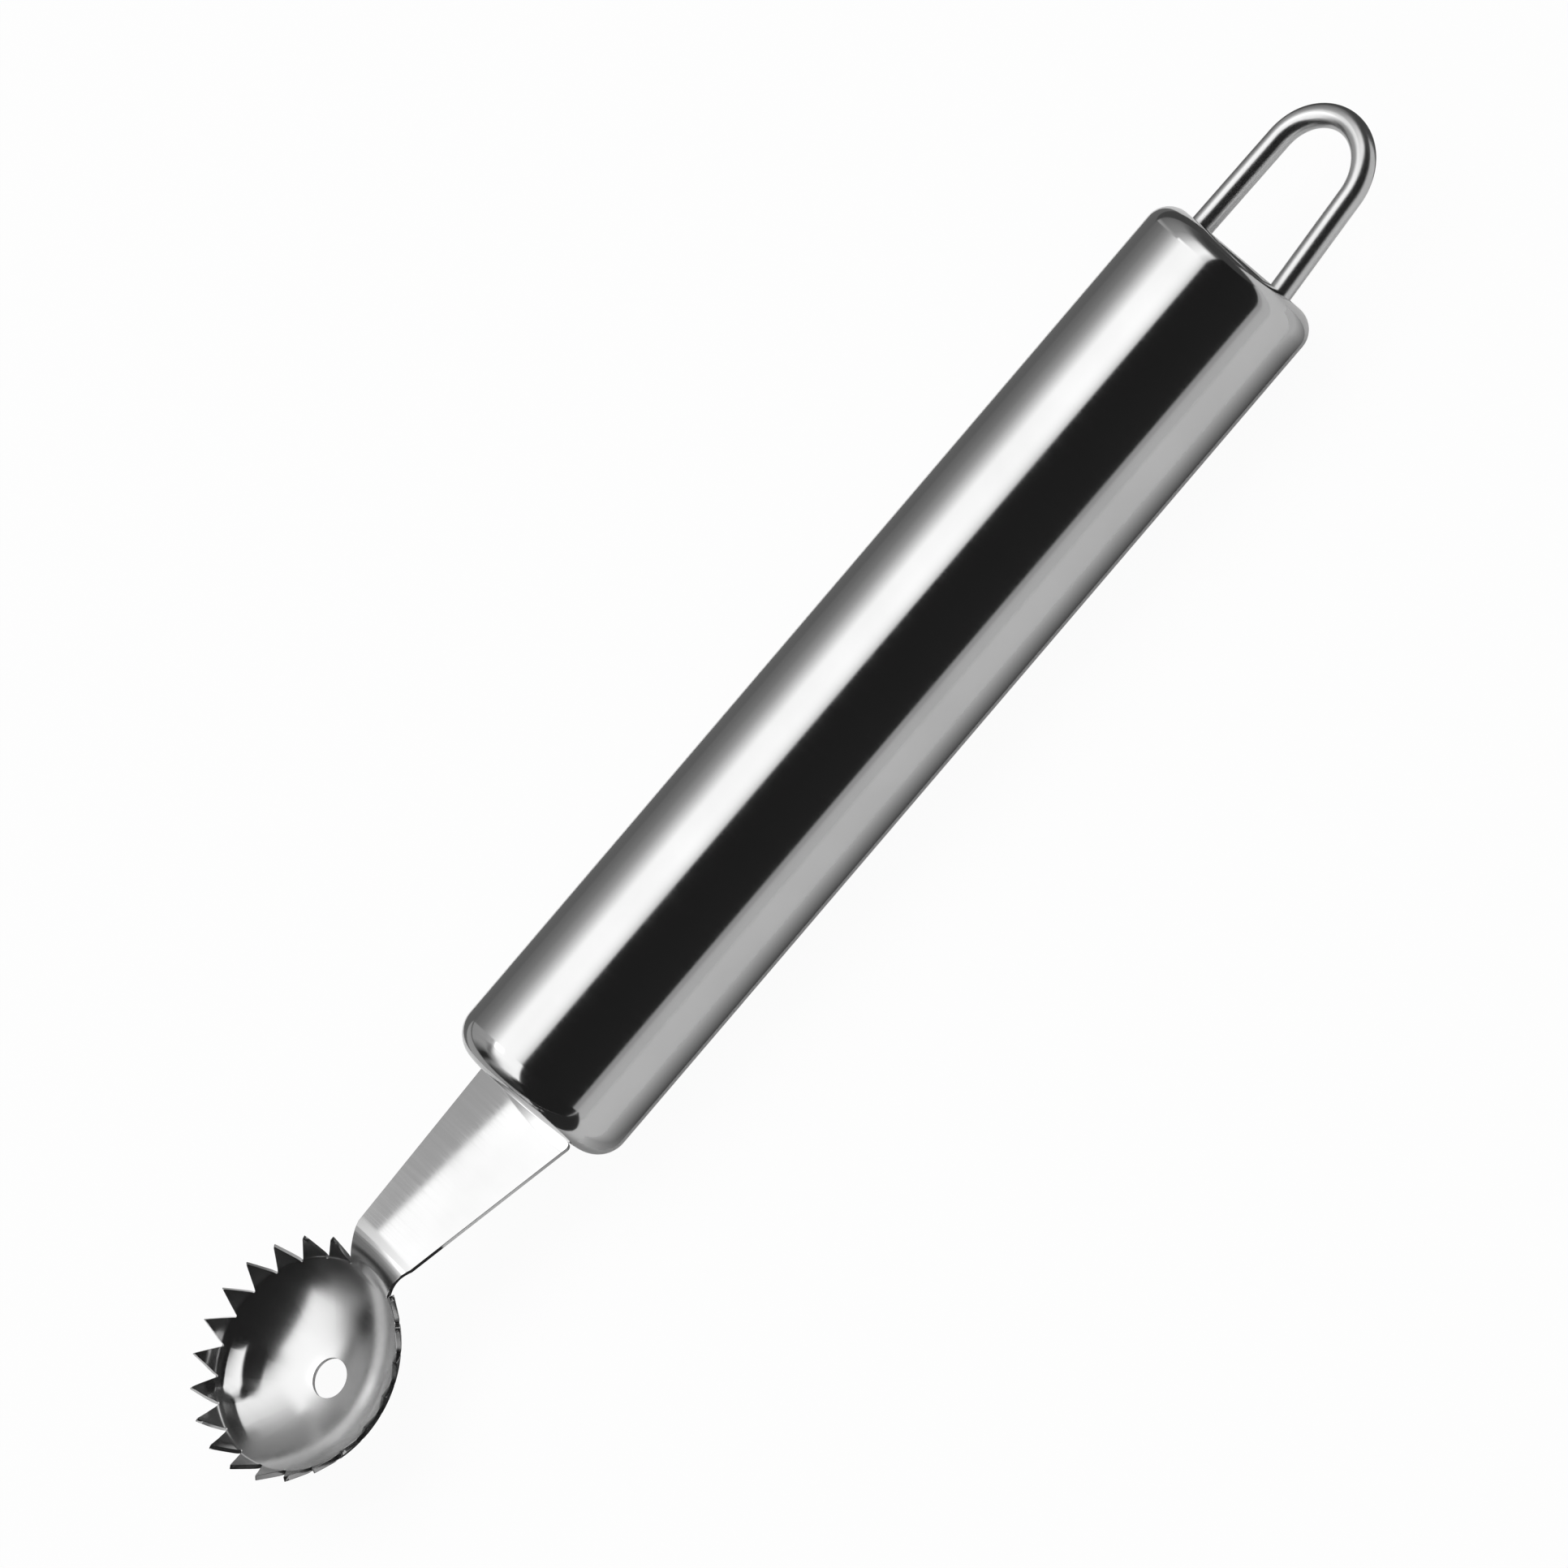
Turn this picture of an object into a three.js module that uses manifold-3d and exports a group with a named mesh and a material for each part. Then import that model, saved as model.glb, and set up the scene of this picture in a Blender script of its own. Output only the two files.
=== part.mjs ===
// Strawberry huller: a polished stainless steel hand tool with a toothed scoop at one end of a
// round hollow handle and a wire hanging loop at the other.
// Millimetres, +Z up, +X along the handle from the scoop to the loop. The tool lies on its handle
// with the mouth of the scoop up, and the origin is under the middle of the whole tool.

import * as THREE from 'three';
import { mergeVertices } from 'three/addons/utils/BufferGeometryUtils.js';
import Module from 'manifold-3d';

// Handle: a thin tube closed by two drawn caps
const HANDLE_DIAMETER = 20;
const HANDLE_LENGTH = 109.5; // between the outer faces of the two caps
const TUBE_WALL = 0.8;
const CAP_WALL = 0.8;
const FRONT_CORNER_RADIUS = 3.3;
const REAR_CORNER_RADIUS = 2.7;
const CAP_SKIRT = 1.6; // straight rim between the corner and the seam
const SPIGOT_LENGTH = 4; // part of a cap that plugs into the tube
const SPIGOT_CLEARANCE = 0.1;
const SEAM_GROOVE = 0.35; // depth of the welded groove between a cap and the tube
const WELD_GAP = 0.05;

// Scoop: one stamping of sheet
const SHEET = 0.5;
const TANG_LENGTH = 12; // inside the handle, from the face of the front cap
const TANG_WIDTH = 9;
const TANG_DROP = 0.5; // middle of the tang below the axis of the handle
const TANG_CORNER = 1;
const SLOT_CLEARANCE = 0.3;
const NECK_LENGTH = 19.75; // flat run between the cap and the bend
const NECK_WIDTH = 14.7; // at the cap
const NECK_CORNER = 0.6;
const NECK_WAIST = 9.05; // at the start of the bend
const NECK_RISE = THREE.MathUtils.degToRad(8);
const BEND_RADIUS = 2.8; // to the middle of the sheet
const ROOT_FLAT = 0.87; // between the bend and the wall of the dish
const NECK_OVERLAP = 1.2; // of the neck inside the wall of the dish
const MOUTH_LEAN = THREE.MathUtils.degToRad(5.9); // of the mouth, away from the handle

// Dish: sizes of its outer side, with heights measured down from the plane of the tooth tips
const TIP_RADIUS = 12.75;
const DISH_DEPTH = 7;
const RIM_HEIGHT = 2.2; // of the flared rim that carries the teeth
const KNUCKLE_RADIUS = 2; // between the dome and the rim
const RIM_FLARE = THREE.MathUtils.degToRad(31); // of the rim, from the axis of the mouth
const TOOTH_PITCHES = 22; // places round the rim
const NECK_PITCHES = 2; // places that the neck takes up
const TOOTH_LAND = 0.25;
const NOTCH_FLOOR = 0.2;
const DRAIN_DIAMETER = 4.2;

// Hanging loop: one bent wire
const WIRE_DIAMETER = 2.5;
const LOOP_REACH = 18.3; // from the face of the rear cap to the top of the loop
const LOOP_BEND_RADIUS = 5.8; // to the middle of the wire
const LEG_INSET = 3.55; // of the middle of each leg from the outside of the handle
const LOOP_RISE = THREE.MathUtils.degToRad(2.8); // of the loop, from the face of the rear cap
const LOOP_LIFT = 0.4; // of the legs above the axis of the handle, at that face
const LEG_INSERT = 4; // of a leg inside the handle
const LEG_CLEARANCE = 0.2;

// Fillet welds inside the handle
const TANG_WELD_LEG = 1;
const LOOP_WELD_LEG = 0.9;

// Smoothness of the round shapes
const HANDLE_SIDES = 48;
const SIDES_PER_PITCH = 3;
const HOLE_SIDES = 24;
const WIRE_SIDES = 12;
const WIRE_STEPS = 36;
const CORNER_STEPS = 5;
const BEND_STEPS = 8;
const KNUCKLE_STEPS = 3;
const DOME_STEPS = 7;

const CUT_MARGIN = 2; // how far a cutting shape reaches past what it cuts
const WELD_TOLERANCE = 1e-4; // distance under which two mesh corners are one

// Sizes that follow from those above
const handleRadius = HANDLE_DIAMETER / 2;
const boreRadius = handleRadius - TUBE_WALL;
const spigotRadius = boreRadius - SPIGOT_CLEARANCE;
const frontSeamPlace = FRONT_CORNER_RADIUS + CAP_SKIRT;
const rearSeamPlace = HANDLE_LENGTH - REAR_CORNER_RADIUS - CAP_SKIRT;
const pitchAngle = (2 * Math.PI) / TOOTH_PITCHES;
const wireRadius = WIRE_DIAMETER / 2;

const polishedSteel = { color: 0xc6c7c9, roughness: 0.1, metalness: 1 };
const weldMetal = { color: 0x9c9a96, roughness: 0.45, metalness: 1 };

const wasm = await Module();
wasm.setup();

/** A closed solid from a geometry whose seams and collapsed triangles are removed. */
function toSolid(geometry) {
  const bare = geometry.clone();
  bare.deleteAttribute('normal');
  bare.deleteAttribute('uv');
  const merged = mergeVertices(bare, WELD_TOLERANCE);
  const corners = merged.index.array;
  const triangles = [];
  for (let i = 0; i < corners.length; i += 3) {
    const [a, b, c] = corners.slice(i, i + 3);
    if (a !== b && b !== c && c !== a) triangles.push(a, b, c);
  }
  const mesh = new wasm.Mesh({
    numProp: 3,
    vertProperties: Float32Array.from(merged.attributes.position.array),
    triVerts: Uint32Array.from(triangles),
  });
  return new wasm.Manifold(mesh);
}

/** A named mesh of a solid. */
function piece(name, solid, finish) {
  const { vertProperties, triVerts } = solid.getMesh();
  const geometry = new THREE.BufferGeometry();
  geometry.setAttribute('position', new THREE.BufferAttribute(vertProperties, 3));
  geometry.setIndex(new THREE.BufferAttribute(triVerts, 1));
  geometry.computeVertexNormals();
  const mesh = new THREE.Mesh(geometry, new THREE.MeshStandardMaterial(finish));
  mesh.name = name;
  return mesh;
}

/** Points on an arc; angles are measured from straight down, turning outwards. */
function arcPoints(centre, radius, from, to, steps) {
  return Array.from({ length: steps + 1 }, (_, i) => {
    const angle = from + ((to - from) * i) / steps;
    return new THREE.Vector2(
      centre.x + radius * Math.sin(angle),
      centre.y - radius * Math.cos(angle),
    );
  });
}

/** A shape turned about the X axis from points of (radius, place along X), with a flat at the bottom. */
function turnedAboutX(profile, sides) {
  return new THREE.LatheGeometry(profile, sides, Math.PI / sides).rotateZ(-Math.PI / 2);
}

/** A profile turned end for end along X. */
function mirrored(profile) {
  return profile.map(({ x, y }) => new THREE.Vector2(x, -y)).reverse();
}

/** A block extruded along Y from a shape drawn in X and Z, centred on the middle plane. */
function extrudedAcross(shape, width) {
  const block = new THREE.ExtrudeGeometry(shape, { depth: width, bevelEnabled: false });
  return block.rotateX(Math.PI / 2).translate(0, width / 2, 0);
}

/** A shape through points given as [x, y]. */
function outline(points) {
  return new THREE.Shape(points.map(([x, y]) => new THREE.Vector2(x, y)));
}

/** A sheet seen from its edge: straight runs and bends, followed from one end to the other. */
class BentSheet {
  constructor(x, y, heading) {
    this.stations = [{ x, y, heading }];
  }

  get end() {
    return this.stations[this.stations.length - 1];
  }

  straight(length) {
    const { x, y, heading } = this.end;
    this.stations.push({
      x: x + length * Math.cos(heading),
      y: y + length * Math.sin(heading),
      heading,
    });
    return this;
  }

  bend(radius, angle, steps) {
    const { x, y, heading } = this.end;
    const side = Math.sign(angle);
    const centreX = x - side * radius * Math.sin(heading);
    const centreY = y + side * radius * Math.cos(heading);
    for (let i = 1; i <= steps; i += 1) {
      const turned = heading + (angle * i) / steps;
      this.stations.push({
        x: centreX + side * radius * Math.sin(turned),
        y: centreY - side * radius * Math.cos(turned),
        heading: turned,
      });
    }
    return this;
  }

  edge(offset) {
    return this.stations.map(({ x, y, heading }) => [
      x - offset * Math.sin(heading),
      y + offset * Math.cos(heading),
    ]);
  }

  section(thickness) {
    return outline([...this.edge(thickness / 2), ...this.edge(-thickness / 2).reverse()]);
  }
}

// Handle

/** Half section of a cap from its face, without what is cut through the face. */
function capProfile(cornerRadius) {
  const corner = new THREE.Vector2(handleRadius - cornerRadius, cornerRadius);
  const outerArc = arcPoints(corner, cornerRadius, 0, Math.PI / 2, CORNER_STEPS);
  const innerArc = arcPoints(corner, cornerRadius - CAP_WALL, Math.PI / 2, 0, CORNER_STEPS);
  const seam = cornerRadius + CAP_SKIRT;
  const spigotBore = spigotRadius - CAP_WALL;
  return [
    new THREE.Vector2(0, 0),
    ...outerArc,
    new THREE.Vector2(handleRadius, seam - SEAM_GROOVE),
    new THREE.Vector2(handleRadius - SEAM_GROOVE, seam),
    new THREE.Vector2(spigotRadius, seam),
    new THREE.Vector2(spigotRadius, seam + SPIGOT_LENGTH),
    new THREE.Vector2(spigotBore, seam + SPIGOT_LENGTH),
    new THREE.Vector2(spigotBore, seam),
    new THREE.Vector2(handleRadius - CAP_WALL, seam - CAP_WALL),
    ...innerArc,
    new THREE.Vector2(0, CAP_WALL),
  ];
}

function tubeSolid() {
  const length = rearSeamPlace - frontSeamPlace;
  const rim = handleRadius - SEAM_GROOVE;
  const profile = [
    new THREE.Vector2(boreRadius, 0),
    new THREE.Vector2(rim, 0),
    new THREE.Vector2(handleRadius, SEAM_GROOVE),
    new THREE.Vector2(handleRadius, length - SEAM_GROOVE),
    new THREE.Vector2(rim, length),
    new THREE.Vector2(boreRadius, length),
    new THREE.Vector2(boreRadius, 0),
  ];
  return toSolid(turnedAboutX(profile, HANDLE_SIDES));
}

/** Ring of weld metal in the groove at a seam, flush with the handle and centred on the seam. */
function seamWeldSolid() {
  const halfWidth = SEAM_GROOVE - WELD_GAP;
  const root = handleRadius - SEAM_GROOVE + WELD_GAP;
  const profile = [
    new THREE.Vector2(handleRadius, -halfWidth),
    new THREE.Vector2(handleRadius, halfWidth),
    new THREE.Vector2(root, 0),
    new THREE.Vector2(handleRadius, -halfWidth),
  ];
  return toSolid(turnedAboutX(profile, HANDLE_SIDES));
}

function frontCapSolid() {
  const slot = new THREE.BoxGeometry(
    2 * (CAP_WALL + CUT_MARGIN),
    TANG_WIDTH + 2 * SLOT_CLEARANCE,
    SHEET + 2 * SLOT_CLEARANCE,
  );
  slot.translate(0, 0, -TANG_DROP);
  const cap = toSolid(turnedAboutX(capProfile(FRONT_CORNER_RADIUS), HANDLE_SIDES));
  return cap.subtract(toSolid(slot));
}

/** The rear cap with its face at X = 0 and its skirt towards -X. */
function rearCapSolid() {
  let cap = toSolid(turnedAboutX(mirrored(capProfile(REAR_CORNER_RADIUS)), HANDLE_SIDES));
  const depth = 2 * (CAP_WALL + CUT_MARGIN);
  for (const side of [-1, 1]) {
    const hole = new THREE.CylinderGeometry(legBore, legBore, depth, HOLE_SIDES);
    cap = cap.subtract(toSolid(alongLeg(hole.rotateZ(Math.PI / 2), side)));
  }
  return cap;
}

// Hanging loop

/** Centre line of the wire: two legs joined by a round bend, with the top of the loop at X = 0. */
class HairpinCurve extends THREE.Curve {
  constructor(bendRadius, splay, legLength) {
    super();
    this.bendRadius = bendRadius;
    this.quarterTurn = Math.PI / 2 - splay;
    this.halfLength = bendRadius * this.quarterTurn + legLength;
  }

  getPoint(t, target = new THREE.Vector3()) {
    const along = (2 * t - 1) * this.halfLength;
    const side = Math.sign(along) || 1;
    const turned = Math.min(Math.abs(along) / this.bendRadius, this.quarterTurn);
    const onLeg = Math.abs(along) - turned * this.bendRadius;
    const depth = this.bendRadius * (1 - Math.cos(turned)) + onLeg * Math.sin(turned);
    const spread = this.bendRadius * Math.sin(turned) + onLeg * Math.cos(turned);
    return target.set(-depth, side * spread, 0);
  }
}

const loopTop = LOOP_REACH - wireRadius; // middle of the wire beyond the rear cap's face
const bendPlace = loopTop - LOOP_BEND_RADIUS;
const legPlace = handleRadius - LEG_INSET;
const legSplay = Math.acos(LOOP_BEND_RADIUS / Math.hypot(legPlace, bendPlace))
  - Math.atan2(bendPlace, legPlace); // of each leg, outwards to the cap
const legBore = wireRadius + LEG_CLEARANCE;

/** A shape drawn along X at the face of the rear cap, moved onto one leg of the loop. */
function alongLeg(geometry, side) {
  const loopFrame = new THREE.Matrix4().makeRotationY(-LOOP_RISE).setPosition(0, 0, LOOP_LIFT);
  return geometry.rotateZ(-side * legSplay).translate(0, side * legPlace, 0).applyMatrix4(loopFrame);
}

function loopSolid() {
  const legReach = LEG_INSERT + bendPlace + LOOP_BEND_RADIUS * Math.sin(legSplay);
  const legLength = legReach / Math.cos(legSplay);
  const section = new THREE.Shape().absarc(0, 0, wireRadius, 0, 2 * Math.PI);
  const wire = new THREE.ExtrudeGeometry(section, {
    curveSegments: WIRE_SIDES / 2,
    steps: WIRE_STEPS,
    extrudePath: new HairpinCurve(LOOP_BEND_RADIUS, legSplay, legLength),
  });
  return toSolid(wire);
}

/** Fillet of weld metal round one leg of the loop, kept within the inside of the rear cap. */
function loopWeldSolid(side) {
  const start = CAP_WALL + WELD_GAP;
  const fillet = [
    new THREE.Vector2(legBore, 0),
    new THREE.Vector2(legBore + LOOP_WELD_LEG, 0),
    new THREE.Vector2(legBore + LOOP_WELD_LEG, start),
    new THREE.Vector2(legBore, start + LOOP_WELD_LEG),
    new THREE.Vector2(legBore, 0),
  ];
  const corner = new THREE.Vector2(handleRadius - REAR_CORNER_RADIUS, REAR_CORNER_RADIUS);
  const roomRadius = REAR_CORNER_RADIUS - CAP_WALL - WELD_GAP;
  const roomEnd = REAR_CORNER_RADIUS + CAP_SKIRT - CAP_WALL;
  const room = [
    new THREE.Vector2(0, start),
    ...arcPoints(corner, roomRadius, 0, Math.PI / 2, CORNER_STEPS),
    new THREE.Vector2(corner.x + roomRadius, roomEnd),
    new THREE.Vector2(0, roomEnd),
  ];
  const ring = alongLeg(turnedAboutX(mirrored(fillet), HOLE_SIDES), side);
  return toSolid(ring).intersect(toSolid(turnedAboutX(mirrored(room), HANDLE_SIDES)));
}

// Scoop

const bowlRadius = TIP_RADIUS - RIM_HEIGHT * Math.tan(RIM_FLARE); // where the dome would meet the rim
const bowlDepth = DISH_DEPTH - RIM_HEIGHT;
const domeRadius = (bowlRadius ** 2 + bowlDepth ** 2) / (2 * bowlDepth);

/** Centres and angles of the arcs that the dish's outer side is made of. */
function dishArcs() {
  const dome = new THREE.Vector2(0, domeRadius - DISH_DEPTH);
  const inwards = new THREE.Vector2(-Math.cos(RIM_FLARE), Math.sin(RIM_FLARE));
  const down = new THREE.Vector2(-Math.sin(RIM_FLARE), -Math.cos(RIM_FLARE));
  const start = new THREE.Vector2(TIP_RADIUS, 0).addScaledVector(inwards, KNUCKLE_RADIUS);
  const fromDome = start.clone().sub(dome);
  const along = fromDome.dot(down);
  const apart = domeRadius - KNUCKLE_RADIUS;
  const run = -along + Math.sqrt(along ** 2 - fromDome.lengthSq() + apart ** 2);
  const knuckle = start.addScaledVector(down, run);
  return {
    dome,
    knuckle,
    root: Math.atan2(knuckle.x, dome.y - knuckle.y),
    rim: Math.PI / 2 - RIM_FLARE,
  };
}

// The notches and the neck start where the dome turns into the rim, in the middle of the sheet
const dish = dishArcs();
const [rootPlace] = arcPoints(dish.dome, domeRadius - SHEET / 2, dish.root, dish.root, 1);
const tipPlace = new THREE.Vector2(TIP_RADIUS - SHEET / 2 / Math.cos(RIM_FLARE), 0);
const valleyHalfWidth = rootPlace.x * Math.sin(pitchAngle * (NECK_PITCHES / 2));

/** One side of the dish wall from the drain hole to the rim, at a depth inside the outer side. */
function dishSide(inset) {
  const floorRadius = domeRadius - inset;
  const drain = Math.asin(DRAIN_DIAMETER / 2 / floorRadius);
  const floor = arcPoints(dish.dome, floorRadius, drain, dish.root, DOME_STEPS);
  const knuckle = arcPoints(
    dish.knuckle, KNUCKLE_RADIUS - inset, dish.root, dish.rim, KNUCKLE_STEPS,
  );
  const tip = new THREE.Vector2(TIP_RADIUS - inset / Math.cos(RIM_FLARE), 0);
  return [...floor, ...knuckle.slice(1), tip];
}

/** Wedge that cuts the notch between two teeth, at an angle round the mouth from the neck. */
function notchWedge(angle) {
  const upRim = new THREE.Vector2(Math.sin(RIM_FLARE), Math.cos(RIM_FLARE));
  const slant = tipPlace.clone().sub(rootPlace).dot(upRim);
  const tipHalf = tipPlace.x * Math.sin(pitchAngle / 2) - TOOTH_LAND / 2;
  const floorHalf = NOTCH_FLOOR / 2;
  const top = slant + CUT_MARGIN;
  const topHalf = floorHalf + ((tipHalf - floorHalf) * top) / slant;
  const wedge = new THREE.ExtrudeGeometry(
    outline([[-floorHalf, 0], [floorHalf, 0], [topHalf, top], [-topHalf, top]]),
    { depth: 2 * CUT_MARGIN, bevelEnabled: false },
  );
  wedge.translate(0, 0, -CUT_MARGIN);
  wedge.rotateX(Math.PI / 2 + RIM_FLARE).rotateZ(Math.PI / 2);
  return wedge.translate(rootPlace.x, 0, rootPlace.y).rotateZ(angle);
}

/** The dish, drawn with its mouth axis along Z, tooth tips at Z = 0 and neck side towards +X. */
function dishSolid(mouthFrame) {
  const inMouth = (geometry) => toSolid(geometry.applyMatrix4(mouthFrame));
  const profile = [...dishSide(0), ...dishSide(SHEET).reverse()];
  profile.push(profile[0].clone());
  const sides = TOOTH_PITCHES * SIDES_PER_PITCH;
  let wall = inMouth(new THREE.LatheGeometry(profile, sides).rotateX(Math.PI / 2));
  const first = NECK_PITCHES / 2;
  for (let place = first; place <= TOOTH_PITCHES - first; place += 1) {
    wall = wall.subtract(inMouth(notchWedge(place * pitchAngle)));
  }
  const gapHeight = CUT_MARGIN - rootPlace.y;
  const gap = new THREE.BoxGeometry(TIP_RADIUS, 2 * valleyHalfWidth, gapHeight);
  gap.translate(TIP_RADIUS, 0, gapHeight / 2 + rootPlace.y);
  return wall.subtract(inMouth(gap));
}

/** The neck's edge view from the end of the tang to the root of the teeth. */
function neckPath() {
  return new BentSheet(TANG_LENGTH, -TANG_DROP, Math.PI)
    .straight(TANG_LENGTH + NECK_CORNER)
    .bend(BEND_RADIUS, -NECK_RISE, BEND_STEPS)
    .straight(NECK_LENGTH - NECK_CORNER - BEND_RADIUS * NECK_RISE)
    .bend(BEND_RADIUS, NECK_RISE + dish.root + MOUTH_LEAN, BEND_STEPS)
    .straight(ROOT_FLAT);
}

/** Outline of the tang and neck seen from above. */
function neckPlan(bendStart, rootEnd, wallEnd) {
  const halfTang = TANG_WIDTH / 2;
  const halfNeck = NECK_WIDTH / 2;
  const side = [
    [TANG_LENGTH, halfTang - TANG_CORNER],
    [TANG_LENGTH - TANG_CORNER, halfTang],
    [0, halfTang],
    [0, halfNeck - NECK_CORNER],
    [-NECK_CORNER, halfNeck],
    [bendStart, NECK_WAIST / 2],
    [rootEnd, valleyHalfWidth],
    [wallEnd, valleyHalfWidth],
  ];
  return outline([...side, ...side.map(([x, y]) => [x, -y]).reverse()]);
}

/** Place and lean of the mouth for a dish whose wall carries on from the end of the neck. */
function mouthFrameAt(root) {
  const rearwards = new THREE.Vector2(Math.cos(MOUTH_LEAN), Math.sin(MOUTH_LEAN));
  const upwards = new THREE.Vector2(-Math.sin(MOUTH_LEAN), Math.cos(MOUTH_LEAN));
  const mouth = new THREE.Vector2(root.x, root.y)
    .addScaledVector(rearwards, -rootPlace.x)
    .addScaledVector(upwards, -rootPlace.y);
  return new THREE.Matrix4().makeRotationY(-MOUTH_LEAN).setPosition(mouth.x, 0, mouth.y);
}

function scoopSolid() {
  const path = neckPath();
  const root = path.end;
  const bendStart = path.stations.at(-2 - BEND_STEPS);
  const wallRadius = domeRadius - SHEET / 2;
  path.bend(wallRadius, -NECK_OVERLAP / wallRadius, KNUCKLE_STEPS);
  const strip = toSolid(extrudedAcross(path.section(SHEET), NECK_WIDTH));
  const plan = neckPlan(bendStart.x, root.x, path.end.x - SHEET);
  const height = 2 * (NECK_LENGTH + BEND_RADIUS);
  const trim = new THREE.ExtrudeGeometry(plan, { depth: height, bevelEnabled: false });
  const neck = strip.intersect(toSolid(trim.translate(0, 0, -height / 2)));
  return dishSolid(mouthFrameAt(root)).add(neck);
}

/** Fillet of weld metal along one face of the tang, on the inside of the front cap. */
function tangWeldSolid(side) {
  const start = CAP_WALL + WELD_GAP;
  const face = side * (SHEET / 2 + WELD_GAP) - TANG_DROP;
  const corners = [
    [start, face],
    [start + TANG_WELD_LEG, face],
    [start, face + side * TANG_WELD_LEG],
  ];
  return toSolid(extrudedAcross(outline(corners), TANG_WIDTH));
}

// Assembly: the front cap's face is at X = 0 and the handle's axis is the X axis

const grip = new THREE.Group();
const tube = piece('handle_tube', tubeSolid(), polishedSteel);
tube.position.x = frontSeamPlace;
const frontSeam = piece('front_seam_weld', seamWeldSolid(), polishedSteel);
frontSeam.position.x = frontSeamPlace;
const rearSeam = piece('rear_seam_weld', seamWeldSolid(), polishedSteel);
rearSeam.position.x = rearSeamPlace;
grip.add(tube, frontSeam, rearSeam);

const front = new THREE.Group();
front.add(
  piece('front_cap', frontCapSolid(), polishedSteel),
  piece('scoop', scoopSolid(), polishedSteel),
  piece('tang_weld_upper', tangWeldSolid(1), weldMetal),
  piece('tang_weld_lower', tangWeldSolid(-1), weldMetal),
);

const rear = new THREE.Group();
const loop = piece('hanging_loop', loopSolid(), polishedSteel);
loop.position.x = loopTop;
const legs = new THREE.Group();
legs.position.z = LOOP_LIFT;
legs.rotation.y = -LOOP_RISE;
legs.add(loop);
rear.add(
  piece('rear_cap', rearCapSolid(), polishedSteel),
  legs,
  piece('loop_weld_left', loopWeldSolid(1), weldMetal),
  piece('loop_weld_right', loopWeldSolid(-1), weldMetal),
);
rear.position.x = HANDLE_LENGTH;

const huller = new THREE.Group();
huller.add(grip, front, rear);
const box = new THREE.Box3().setFromObject(huller, true);
huller.position.set(-(box.min.x + box.max.x) / 2, 0, -box.min.z);

export default huller;
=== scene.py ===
"""Looks of a polished steel strawberry huller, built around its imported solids.

Sizes in the classes are in millimetres in the tool's own frame: X runs along the handle from the
face of the front cap towards the hanging loop, and Y and Z are measured from the handle's axis.
Finished meshes are in metres in the row frame.
"""

import logging
import math
from dataclasses import dataclass
from enum import Enum
from typing import Any, Optional, Sequence

import bmesh
import bpy
from bmesh.types import BMesh
from bpy.types import Material, Mesh, Node, NodeSocket, NodeTree, Object
from mathutils import Matrix, Vector, noise


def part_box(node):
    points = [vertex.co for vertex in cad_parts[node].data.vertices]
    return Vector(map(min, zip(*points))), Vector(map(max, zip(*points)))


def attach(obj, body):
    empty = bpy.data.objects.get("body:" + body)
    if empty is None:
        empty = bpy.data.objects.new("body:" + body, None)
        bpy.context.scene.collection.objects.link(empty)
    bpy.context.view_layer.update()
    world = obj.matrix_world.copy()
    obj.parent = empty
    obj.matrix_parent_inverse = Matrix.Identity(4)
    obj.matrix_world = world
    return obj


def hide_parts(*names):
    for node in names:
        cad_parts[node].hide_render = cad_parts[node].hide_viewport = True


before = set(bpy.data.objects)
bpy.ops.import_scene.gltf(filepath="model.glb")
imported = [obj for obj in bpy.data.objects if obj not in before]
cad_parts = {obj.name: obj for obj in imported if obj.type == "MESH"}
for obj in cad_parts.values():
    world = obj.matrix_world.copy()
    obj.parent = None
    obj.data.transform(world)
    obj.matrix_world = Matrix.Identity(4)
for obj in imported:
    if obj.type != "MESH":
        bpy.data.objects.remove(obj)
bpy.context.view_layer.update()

BODY = "root"
MM = 0.001
NEARLY = 1e-6  # slack where lengths in mm, angles or shares are compared
MERGE_DISTANCE = 1e-6  # in metres
SHARP_ANGLE = math.radians(30)

Stops = tuple[tuple[float, float], ...]

log = logging.getLogger("huller")


class Slot(Enum):
    """Material slots of the record."""

    POLISHED = "polished_steel"
    WELD = "weld_metal"


class End(Enum):
    """The two ends of the handle."""

    FRONT = "front"
    REAR = "rear"


def linear(code: str) -> tuple[float, float, float, float]:
    """Turns an sRGB hex colour into linear RGBA.

    Args:
        code: six hex digits, with or without a leading hash.

    Returns:
        The linear red, green, blue and an alpha of one.
    """
    digits = code.lstrip("#")
    parts = [int(digits[i:i + 2], 16) / 255 for i in (0, 2, 4)]
    red, green, blue = (
        c / 12.92 if c <= 0.04045 else ((c + 0.055) / 1.055) ** 2.4 for c in parts
    )
    return red, green, blue, 1.0


def smooth(share: float) -> float:
    """Eases a share, first held between 0 and 1, with level ends."""
    held = min(max(share, 0.0), 1.0)
    return held * held * (3 - 2 * held)


def between(stops: Stops, place: float) -> float:
    """Reads a value in a straight line between stops, level beyond the last ones.

    Args:
        stops: (place, value) pairs in order.
        place: where to read.

    Returns:
        The value.
    """
    if place <= stops[0][0]:
        return stops[0][1]
    for (a, first), (b, second) in zip(stops, stops[1:]):
        if place <= b:
            return first + (second - first) * (place - a) / (b - a)
    return stops[-1][1]


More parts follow.
